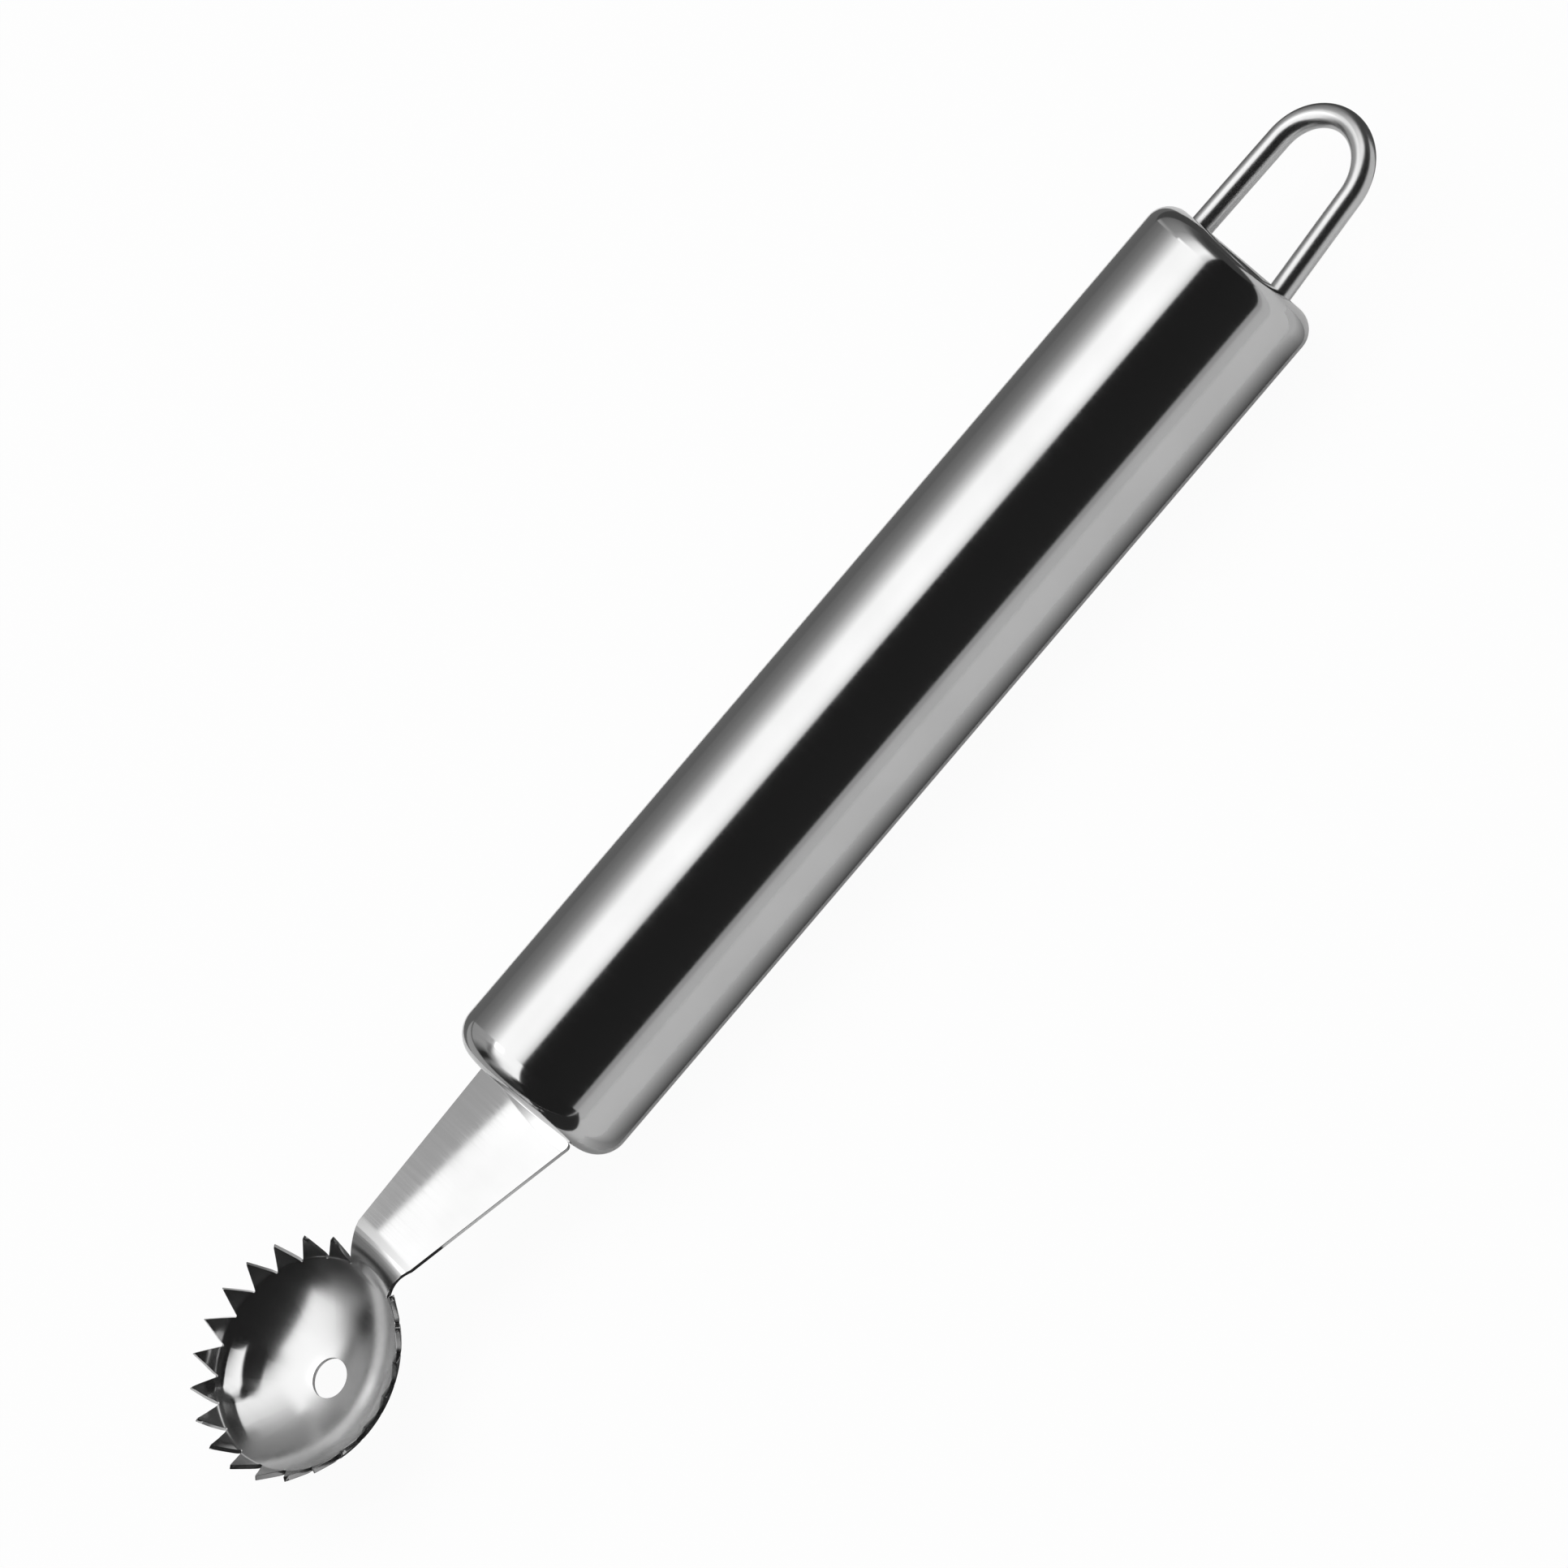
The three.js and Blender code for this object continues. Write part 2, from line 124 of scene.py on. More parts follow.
def add_node(
    tree: NodeTree, kind: str, inputs: Optional[dict[Any, Any]] = None, **settings: Any
) -> Node:
    """Adds a node to a tree with its settings, socket values and links.

    Args:
        tree: the node tree.
        kind: the node's type name.
        inputs: socket name or index to a value, or to the output socket that is linked to it.
        settings: attributes of the node.

    Returns:
        The new node.
    """
    node = tree.nodes.new(kind)
    for name, value in settings.items():
        setattr(node, name, value)
    for key, value in (inputs or {}).items():
        socket = node.inputs[key]
        if isinstance(value, NodeSocket):
            tree.links.new(value, socket)
        else:
            socket.default_value = value
    return node


def new_material(name: str) -> tuple[Material, NodeTree]:
    """Makes an empty node material.

    Args:
        name: the material's name.

    Returns:
        The material and its node tree.
    """
    material = bpy.data.materials.new(name)
    material.use_nodes = True
    material.node_tree.nodes.clear()
    return material, material.node_tree


@dataclass(frozen=True)
class PolishedSteel:
    """Stainless steel buffed to a mirror: neutral grey, sharp reflections, faint buffing lines."""

    name: str
    bright: str = "#CCCCCC"  # the cleanest metal
    dull: str = "#C6C6C6"  # where the buffing left a faint haze
    tint_span: tuple[float, float] = (0.35, 0.75)  # noise of the patches at bright and at dull
    roughness: float = 0.09
    haze: float = 0.035  # how much rougher the hazy patches are
    haze_span: tuple[float, float] = (0.65, 1.1)  # mixed noise where metal is clean and hazy
    patch: float = 9.0  # size of a hazy patch, in mm
    patch_detail: float = 3.0
    patch_share: float = 0.7  # weight of the patches beside the lines in the mixed noise
    line: float = 0.25  # mm; real buffing lines are about 0.02 mm apart, drawn coarser to show
    line_detail: float = 4.0
    stretch: tuple[float, float, float] = (1.0, 40.0, 40.0)  # of the lines along each axis
    depth: float = 0.0004  # of the lines, in mm
    satin: float = 0.0  # how much rougher the metal is where the buff does not reach
    satin_span: tuple[float, float] = (0.0, 1.0)  # its start and full along the row's X, in mm

    def material(self) -> Material:
        """Builds the node material.

        Returns:
            The material.
        """
        material, tree = new_material(self.name)
        place = add_node(tree, "ShaderNodeTexCoord").outputs["Object"]
        along = add_node(tree, "ShaderNodeSeparateXYZ", {0: place})
        unbuffed = add_node(tree, "ShaderNodeMapRange", {
            "Value": along.outputs["X"],
            "From Min": self.satin_span[0] * MM,
            "From Max": self.satin_span[1] * MM,
            "To Max": self.satin,
        })
        patches = add_node(tree, "ShaderNodeTexNoise", {
            "Vector": place, "Scale": 1 / (self.patch * MM), "Detail": self.patch_detail,
        })
        drawn = add_node(tree, "ShaderNodeMapping", {
            "Vector": place, "Scale": [1 / (self.line * MM * s) for s in self.stretch],
        })
        lines = add_node(tree, "ShaderNodeTexNoise", {
            "Vector": drawn.outputs[0], "Scale": 1.0, "Detail": self.line_detail,
        })
        mixed = add_node(
            tree, "ShaderNodeMath",
            {0: patches.outputs["Fac"], 1: self.patch_share, 2: lines.outputs["Fac"]},
            operation="MULTIPLY_ADD",
        )
        rough = add_node(tree, "ShaderNodeMapRange", {
            "Value": mixed.outputs[0],
            "From Min": self.haze_span[0],
            "From Max": self.haze_span[1],
            "To Min": self.roughness,
            "To Max": self.roughness + self.haze,
        })
        all_rough = add_node(
            tree, "ShaderNodeMath",
            {0: rough.outputs["Result"], 1: unbuffed.outputs["Result"]}, operation="ADD",
        )
        tint = add_node(tree, "ShaderNodeValToRGB", {"Fac": patches.outputs["Fac"]})
        first, last = tint.color_ramp.elements
        first.color, last.color = linear(self.bright), linear(self.dull)
        first.position, last.position = self.tint_span
        bump = add_node(tree, "ShaderNodeBump", {
            "Height": lines.outputs["Fac"], "Distance": self.depth * MM, "Strength": 1.0,
        })
        steel = add_node(tree, "ShaderNodeBsdfPrincipled", {
            "Base Color": tint.outputs["Color"],
            "Metallic": 1.0,
            "Roughness": all_rough.outputs[0],
            "Normal": bump.outputs["Normal"],
        })
        add_node(tree, "ShaderNodeOutputMaterial", {"Surface": steel.outputs[0]})
        return material


@dataclass(frozen=True)
class WeldMetal:
    """Stainless weld metal as welded: rippled, straw to grey, with a soft sheen."""

    name: str = "stainless_weld_metal_as_welded"
    straw: str = "#A89878"  # heat colour on the ripples
    grey: str = "#8A8986"  # the cooler metal
    ripple: float = 0.35  # spacing of the ripples, in mm
    waver: float = 3.0  # how far they stray from straight lines
    detail: float = 2.0
    depth: float = 0.05  # of the ripples, in mm
    roughness: float = 0.42

    def material(self) -> Material:
        """Builds the node material.

        Returns:
            The material.
        """
        material, tree = new_material(self.name)
        place = add_node(tree, "ShaderNodeTexCoord").outputs["Object"]
        ripples = add_node(tree, "ShaderNodeTexWave", {
            "Vector": place,
            "Scale": 1 / (self.ripple * MM * 2 * math.pi),
            "Distortion": self.waver,
            "Detail": self.detail,
        }, bands_direction="Y")
        tint = add_node(tree, "ShaderNodeValToRGB", {"Fac": ripples.outputs["Fac"]})
        first, last = tint.color_ramp.elements
        first.color, last.color = linear(self.grey), linear(self.straw)
        bump = add_node(tree, "ShaderNodeBump", {
            "Height": ripples.outputs["Fac"], "Distance": self.depth * MM,
        })
        metal = add_node(tree, "ShaderNodeBsdfPrincipled", {
            "Base Color": tint.outputs["Color"],
            "Metallic": 1.0,
            "Roughness": self.roughness,
            "Normal": bump.outputs["Normal"],
        })
        add_node(tree, "ShaderNodeOutputMaterial", {"Surface": metal.outputs[0]})
        return material


def mirror_rays(tree: NodeTree, path: Node) -> NodeSocket:
    """Adds a socket that is one for rays off a mirror or through glass, from a light path node."""
    either = {0: path.outputs["Is Glossy Ray"], 1: path.outputs["Is Transmission Ray"]}
    return add_node(tree, "ShaderNodeMath", either, operation="ADD").outputs[0]


@dataclass(frozen=True)
class MattPaper:
    """Matt white paper of the studio floor: even and pale, with a hardly visible grain."""

    name: str = "matt_white_paper"
    low: str = "#EDEDED"  # hollows of the grain
    high: str = "#F0F0F0"  # its tops
    grain: float = 10 / 9  # mm; real fibres are about 0.02 mm thick, drawn coarser to show
    detail: float = 2.0
    roughness: float = 0.5
    camera_white: float = 0.95  # share of plain white that the camera sees
    mirror_white: float = 0.06  # share of plain white that the metal mirrors

    def material(self) -> Material:
        """Builds the node material, which shows nearly white and keeps the tool's shadow.

        Returns:
            The material.
        """
        material, tree = new_material(self.name)
        path = add_node(tree, "ShaderNodeLightPath")
        place = add_node(tree, "ShaderNodeTexCoord").outputs["Object"]
        grain = add_node(tree, "ShaderNodeTexNoise", {
            "Vector": place, "Scale": 1 / (self.grain * MM), "Detail": self.detail,
        })
        shade = add_node(tree, "ShaderNodeValToRGB", {"Fac": grain.outputs["Fac"]})
        first, last = shade.color_ramp.elements
        first.color, last.color = linear(self.low), linear(self.high)
        paper = add_node(tree, "ShaderNodeBsdfDiffuse", {
            "Color": shade.outputs["Color"], "Roughness": self.roughness,
        })
        part = add_node(
            tree, "ShaderNodeMath", {0: mirror_rays(tree, path), 1: self.mirror_white},
            operation="MULTIPLY",
        )
        seen = add_node(
            tree, "ShaderNodeMath",
            {0: path.outputs["Is Camera Ray"], 1: self.camera_white, 2: part.outputs[0]},
            operation="MULTIPLY_ADD",
        )
        white = add_node(tree, "ShaderNodeEmission", {"Strength": 1.0})
        mixed = add_node(tree, "ShaderNodeMixShader", {
            0: seen.outputs[0], 1: paper.outputs[0], 2: white.outputs[0],
        })
        add_node(tree, "ShaderNodeOutputMaterial", {"Surface": mixed.outputs[0]})
        return material


def link_object(name: str, mesh: Mesh) -> Object:
    """Puts a mesh into the scene as an object at the origin.

    Args:
        name: the object's name.
        mesh: its mesh.

    Returns:
        The object.
    """
    thing = bpy.data.objects.new(name, mesh)
    bpy.context.scene.collection.objects.link(thing)
    return thing


def object_from(name: str, shape: BMesh) -> Object:
    """Turns a shape under construction into an object, and frees the shape.

    Args:
        name: name of the object and its mesh.
        shape: the shape, in metres in the row frame.

    Returns:
        The object.
    """
    mesh = bpy.data.meshes.new(name)
    shape.to_mesh(mesh)
    shape.free()
    return link_object(name, mesh)


def mesh_from(name: str, points: Sequence[Vector], faces: Sequence[Sequence[int]]) -> Mesh:
    """Makes a mesh from points and faces.

    Args:
        name: the mesh's name.
        points: its corners.
        faces: corner numbers of each face.

    Returns:
        The mesh.
    """
    mesh = bpy.data.meshes.new(name)
    mesh.from_pydata([tuple(p) for p in points], [], [tuple(f) for f in faces])
    mesh.update()
    return mesh


def grid_faces(rows: int, width: int) -> list[tuple[int, ...]]:
    """Lists the faces of a grid of points that are numbered row by row.

    Args:
        rows: number of rows.
        width: points in each row.

    Returns:
        Corner numbers of each face.
    """
    return [
        (a, a + 1, a + 1 + width, a + width)
        for row in range(rows - 1)
        for a in range(row * width, row * width + width - 1)
    ]


def settle(thing: Object) -> None:
    """Turns an object with modifiers into a plain mesh without them.

    Args:
        thing: the object.
    """
    graph = bpy.context.evaluated_depsgraph_get()
    plain = bpy.data.meshes.new_from_object(thing.evaluated_get(graph))
    thing.modifiers.clear()
    thing.data = plain


def geometry_tree(name: str, inputs: dict[str, str]) -> NodeTree:
    """Makes a geometry tree with its sockets.

    Args:
        name: the tree's name.
        inputs: name to socket type of each input besides the geometry.

    Returns:
        The tree.
    """
    tree = bpy.data.node_groups.new(name, "GeometryNodeTree")
    tree.interface.new_socket("Geometry", in_out="INPUT", socket_type="NodeSocketGeometry")
    for label, kind in inputs.items():
        tree.interface.new_socket(label, in_out="INPUT", socket_type=kind)
    tree.interface.new_socket("Geometry", in_out="OUTPUT", socket_type="NodeSocketGeometry")
    return tree


def run_tree(thing: Object, tree: NodeTree, values: dict[str, Any]) -> None:
    """Runs a geometry tree on an object and keeps the result as its plain mesh.

    Args:
        thing: the object that the tree starts from.
        tree: the geometry tree.
        values: name to value of each input, set on the modifier by socket identifier.
    """
    modifier = thing.modifiers.new(tree.name, "NODES")
    modifier.node_group = tree
    for item in tree.interface.items_tree:
        if item.item_type == "SOCKET" and item.in_out == "INPUT" and item.name in values:
            modifier[item.identifier] = values[item.name]
    settle(thing)


def dress(piece: Object, finish: Material, slot: Slot, *nodes: str) -> Object:
    """Gives a finished piece its material and body, and hides the solids that it stands for.

    Args:
        piece: the piece, which is also shaded smooth with its sharp edges kept.
        finish: its material.
        slot: the record's material slot; not used.
        nodes: names of the solids that it replaces.

    Returns:
        The piece.
    """
    piece.data.materials.clear()
    piece.data.materials.append(finish)
    piece.data.shade_smooth()
    piece.data.set_sharp_from_angle(angle=SHARP_ANGLE)
    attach(piece, BODY)
    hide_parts(*nodes)
    return piece


@dataclass
class Axis:
    """Where the tool's own frame lies in the row frame.

    Attributes:
        face: X of the front cap's face, in metres.
        height: Z of the handle's axis, in metres.
    """

    face: float
    height: float

    @classmethod
    def from_solids(cls) -> "Axis":
        """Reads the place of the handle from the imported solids."""
        low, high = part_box("handle_tube")
        return cls(face=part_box("front_cap")[0].x, height=(low.z + high.z) / 2)

    def point(self, x: float, y: float, z: float) -> Vector:
        """A point of the tool's frame, given in mm, as a row point in metres."""
        return Vector((self.face + x * MM, y * MM, self.height + z * MM))

    def matrix(self) -> Matrix:
        """The move from the tool's frame in mm to the row frame in metres."""
        return Matrix.Translation((self.face, 0, self.height)) @ Matrix.Scale(MM, 4)


def arc(centre: Vector, radius: float, start: float, stop: float, steps: int) -> list[Vector]:
    """Points on an arc, with angles measured from straight down and turning outwards.

    Args:
        centre: centre as (across, up).
        radius: its radius.
        start: first angle.
        stop: last angle.
        steps: number of steps between them.

    Returns:
        Points as (across, up).
    """
    angles = [start + (stop - start) * i / steps for i in range(steps + 1)]
    return [centre + radius * Vector((math.sin(a), -math.cos(a))) for a in angles]


@dataclass
class Handle:
    """The round hollow handle: a tube between two drawn caps, with ground seams."""

    axis: Axis
    radius: float = 10.0
    length: float = 109.5
    wall: float = 0.8
    front_corner: float = 3.3
    rear_corner: float = 2.7
    skirt: float = 1.6
    spigot: float = 4.0
    spigot_gap: float = 0.1
    groove: float = 0.35
    slot_half_width: float = 4.55
    slot_half_height: float = 0.275
    slot_drop: float = 0.575
    leg_bore: float = 1.45
    slot_walls: float = 2.0  # half length of the slot's cutter, in walls
    bore_walls: float = 6.0  # length of the cutters of the legs' holes, in walls
    segments: int = 192
    bore_segments: int = 64
    corner_steps: int = 28
    crease: float = 0.02  # width of the strip that keeps a flat side flat beside a round corner

    def seam(self, end: End) -> float:
        """Finds the place of a seam along the handle.

        Args:
            end: which end of the handle.

        Returns:
            The place, in mm.
        """
        if end is End.FRONT:
            return self.front_corner + self.skirt
        return self.length - self.rear_corner - self.skirt

    def turned(self, name: str, profile: Sequence[tuple[float, float]]) -> Object:
        """Turns a closed profile about the handle's axis.

        Args:
            name: name of the piece.
            profile: (place along the handle, radius) points, in mm, in order round the metal.

        Returns:
            The piece, with its mesh in place.
        """
        shape = bmesh.new()
        rings = []
        for place, radius in profile:
            count = self.segments if radius > 0 else 1
            turns = [2 * math.pi * i / self.segments for i in range(count)]
            round_axis = [(radius * math.sin(t), radius * math.cos(t)) for t in turns]
            rings.append([shape.verts.new(self.axis.point(place, y, z)) for y, z in round_axis])
        for here, there in zip(rings, rings[1:] + rings[:1]):
            if len(here) == len(there) == 1:
                continue
            for i in range(self.segments):
                j = (i + 1) % self.segments
                corners = [
                    here[i % len(here)], here[j % len(here)],
                    there[j % len(there)], there[i % len(there)],
                ]
                shape.faces.new(list(dict.fromkeys(corners)))
        bmesh.ops.recalc_face_normals(shape, faces=shape.faces)
        return object_from(name, shape)

    def tube(self) -> Object:
        """Builds the tube, with its ends ground back for the seams.

        Returns:
            The tube.
        """
        start, stop = self.seam(End.FRONT), self.seam(End.REAR)
        rim = self.radius - self.groove
        bore = self.radius - self.wall
        return self.turned("polished_tube", [
            (start, bore),
            (start, rim),
            (start + self.groove, self.radius),
            (stop - self.groove, self.radius),
            (stop, rim),
            (stop, bore),
        ])

    def seam_ring(self, end: End) -> Object:
        """Builds the ring of weld metal in a seam, ground flush with the handle.

        Args:
            end: which end of the handle.

        Returns:
            The ring.
        """
        middle = self.seam(end)
        return self.turned(f"{end.value}_seam_ring", [
            (middle - self.groove, self.radius),
            (middle + self.groove, self.radius),
            (middle, self.radius - self.groove),
        ])

    def cap_profile(self, corner: float) -> list[tuple[float, float]]:
        """Half section of a cap, as (depth behind its face, radius).

        Args:
            corner: outer radius of its rounded corner.

        Returns:
            The closed section.
        """
        seam = corner + self.skirt
        flat = self.radius - corner
        plug = self.radius - self.wall - self.spigot_gap
        centre = Vector((flat, corner))
        quarter, steps = math.pi / 2, self.corner_steps
        outer = [(p.y, p.x) for p in arc(centre, corner, 0, quarter, steps)]
        inner = [(p.y, p.x) for p in arc(centre, corner - self.wall, quarter, 0, steps)]
        return [
            (0, 0),
            (0, flat - self.crease),
            *outer,
            (corner + self.crease, self.radius),
            (seam - self.groove, self.radius),
            (seam, self.radius - self.groove),
            (seam, plug),
            (seam + self.spigot, plug),
            (seam + self.spigot, plug - self.wall),
            (seam, plug - self.wall),
            (seam - self.wall, self.radius - self.wall),
            *inner,
            (self.wall, 0),
        ]

    @staticmethod
    def cut(piece: Object, tool: Object) -> None:
        """Cuts one shape out of a piece and removes the cutting shape.

        Args:
            piece: the piece to cut.
            tool: the shape to take out.
        """
        change = piece.modifiers.new("cut", "BOOLEAN")
        change.operation = "DIFFERENCE"
        change.solver = "EXACT"
        change.object = tool
        settle(piece)
        bpy.data.objects.remove(tool)

    def front_cap(self) -> Object:
        """Builds the front cap with the slot that the tang goes through.

        Returns:
            The cap.
        """
        cap = self.turned("front_end_cap", self.cap_profile(self.front_corner))
        shape = bmesh.new()
        bmesh.ops.create_cube(shape, size=2)  # so that half a side is one
        half = (self.slot_walls * self.wall, self.slot_half_width, self.slot_half_height, 1)
        place = Matrix.Translation((0, 0, -self.slot_drop))
        shape.transform(self.axis.matrix() @ place @ Matrix.Diagonal(half))
        self.cut(cap, object_from("slot", shape))
        return cap

    def rear_cap(self, loop: "HangingLoop") -> Object:
        """Builds the rear cap with a hole for each leg of the loop.

        Args:
            loop: the loop whose legs go through it.

        Returns:
            The cap.
        """
        profile = [(self.length - d, r) for d, r in self.cap_profile(self.rear_corner)]
        cap = self.turned("rear_end_cap", profile)
        for side in (-1, 1):
            shape = bmesh.new()
            bmesh.ops.create_cone(
                shape, cap_ends=True, segments=self.bore_segments, radius1=self.leg_bore,
                radius2=self.leg_bore, depth=self.bore_walls * self.wall,
                matrix=loop.leg_matrix(side) @ Matrix.Rotation(math.pi / 2, 4, "Y"),
            )
            shape.transform(self.axis.matrix())
            self.cut(cap, object_from("leg_hole", shape))
        return cap

    def build(
        self, tube_steel: Material, cap_steel: Material, loop: "HangingLoop"
    ) -> list[Object]:
        """Builds and dresses the tube, its seams and its caps.

        Args:
            tube_steel: material of the tube and the seams.
            cap_steel: material of the caps.
            loop: the loop whose legs go through the rear cap.

        Returns:
            The finished pieces.
        """
        polished = Slot.POLISHED
        return [
            dress(self.tube(), tube_steel, polished, "handle_tube"),
            dress(self.seam_ring(End.FRONT), tube_steel, polished, "front_seam_weld"),
            dress(self.seam_ring(End.REAR), tube_steel, polished, "rear_seam_weld"),
            dress(self.front_cap(), cap_steel, polished, "front_cap"),
            dress(self.rear_cap(loop), cap_steel, polished, "rear_cap"),
        ]


@dataclass
class HangingLoop:
    """The wire loop at the end of the handle."""

    axis: Axis
    rear_face: float
    wire_radius: float = 1.25
    reach: float = 18.3
    bend_radius: float = 5.8
    leg_place: float = 6.45
    rise: float = math.radians(2.8)
    lift: float = 0.4
    insert: float = 4.0
    sides: int = 64
    bend_steps: int = 96
    leg_steps: int = 12

    @property
    def top(self) -> float:
        """Middle of the wire at the loop's end, from the rear face."""
        return self.reach - self.wire_radius

    @property
    def splay(self) -> float:
        """Angle of each leg outwards to the cap."""
        away = self.top - self.bend_radius
        across = math.acos(self.bend_radius / math.hypot(self.leg_place, away))
        return across - math.atan2(away, self.leg_place)

    def frame(self) -> Matrix:
        """The loop's own frame at the rear face, in the tool's frame."""
        place = Matrix.Translation((self.rear_face, 0, self.lift))
        return place @ Matrix.Rotation(-self.rise, 4, "Y")

    def leg_matrix(self, side: int) -> Matrix:
        """Frame on the leg of a side, -1 or 1, at the rear face, with X along the leg."""
        place = Matrix.Translation((0, side * self.leg_place, 0))
        return self.frame() @ place @ Matrix.Rotation(-side * self.splay, 4, "Z")

    def centre_line(self) -> list[Vector]:
        """Finds the middle of the wire from the end of one leg to the end of the other.

        Returns:
            Points in the tool's frame, in mm.
        """
        quarter = math.pi / 2 - self.splay
        reach = self.insert + self.top - self.bend_radius * (1 - math.sin(self.splay))
        leg = reach / math.cos(self.splay)
        half = [(quarter * i / self.bend_steps, 0.0) for i in range(self.bend_steps + 1)]
        half += [(quarter, leg * i / self.leg_steps) for i in range(1, self.leg_steps + 1)]
        points = []
        for turned, along in half:
            depth = self.bend_radius * (1 - math.cos(turned)) + along * math.sin(turned)
            spread = self.bend_radius * math.sin(turned) + along * math.cos(turned)
            points.append((self.top - depth, spread))
        line = [Vector((x, -y, 0)) for x, y in reversed(points)]
        line += [Vector((x, y, 0)) for x, y in points[1:]]
        return [self.frame() @ p for p in line]

    def tree(self) -> NodeTree:
        """Builds the geometry tree that sweeps a round wire along the line.

        Returns:
            The tree.
        """
        tree = geometry_tree("swept_wire", {
            "Wire radius": "NodeSocketFloat",
            "Sides": "NodeSocketInt",
            "Finish": "NodeSocketMaterial",
        })
        given = add_node(tree, "NodeGroupInput").outputs
        line = add_node(tree, "GeometryNodeMeshToCurve", {"Mesh": given["Geometry"]})
        ring = add_node(tree, "GeometryNodeCurvePrimitiveCircle", {
            "Resolution": given["Sides"], "Radius": given["Wire radius"],
        })
        wire = add_node(tree, "GeometryNodeCurveToMesh", {
            "Curve": line.outputs[0], "Profile Curve": ring.outputs[0], "Fill Caps": True,
        })
        real = add_node(tree, "GeometryNodeRealizeInstances", {"Geometry": wire.outputs[0]})
        dressed = add_node(tree, "GeometryNodeSetMaterial", {
            "Geometry": real.outputs[0], "Material": given["Finish"],
        })
        add_node(tree, "NodeGroupOutput", {"Geometry": dressed.outputs[0]})
        return tree

    def build(self, finish: Material) -> list[Object]:
        """Builds and dresses the loop.

        Args:
            finish: its material.

        Returns:
            The finished piece.
        """
        to_row = self.axis.matrix()
        points = [tuple(to_row @ p) for p in self.centre_line()]
        mesh = bpy.data.meshes.new("wire_loop")
        mesh.from_pydata(points, [(i, i + 1) for i in range(len(points) - 1)], [])
        loop = link_object("wire_loop", mesh)
        run_tree(loop, self.tree(), {
            "Wire radius": self.wire_radius * MM, "Sides": self.sides, "Finish": finish,
        })
        return [dress(loop, finish, Slot.POLISHED, "hanging_loop")]


@dataclass(frozen=True)
class Station:
    """A place on the neck seen from its edge: its point and its heading."""

    x: float
    z: float
    heading: float

    def straight(self, length: float, steps: int) -> list["Station"]:
        """Goes on straight ahead.

        Args:
            length: how far.
            steps: number of stations on the way.

        Returns:
            The stations, without this one.
        """
        ahead_x, ahead_z = math.cos(self.heading), math.sin(self.heading)
        runs = [length * i / steps for i in range(1, steps + 1)]
        return [Station(self.x + r * ahead_x, self.z + r * ahead_z, self.heading) for r in runs]

    def bend(self, angle: float, radius: float, steps: int) -> list["Station"]:
        """Goes on round a bend.

        Args:
            angle: how far to turn, with left turns positive.
            radius: of the bend.
            steps: number of stations on the way.

        Returns:
            The stations, without this one.
        """
        side = math.copysign(radius, angle)
        x = self.x - side * math.sin(self.heading)
        z = self.z + side * math.cos(self.heading)
        turns = [self.heading + angle * i / steps for i in range(1, steps + 1)]
        return [Station(x + side * math.sin(t), z - side * math.cos(t), t) for t in turns]


@dataclass(frozen=True)
class Swell:
    """A shallow fold that stamping left in the wall of the dish."""

    turn: float  # its middle round the mouth, in degrees from the neck towards the far side
    spread: float  # half of its length round the mouth, in degrees
    section: Stops  # (radius, height of the metal above the plain dish) across it, in mm
    ramps: float = 3.0  # how many of the rises at its ends fit into half of its length

    def height(self, reach: float, turn: float) -> float:
        """Finds the height of the fold at a place in the dish.

        Args:
            reach: radius of the place, in mm.
            turn: the place round the mouth, in degrees.

        Returns:
            The height, in mm.
        """
        away = abs((turn - self.turn + 180) % 360 - 180) / self.spread
        return smooth(self.ramps * (1 - away)) * between(self.section, reach)


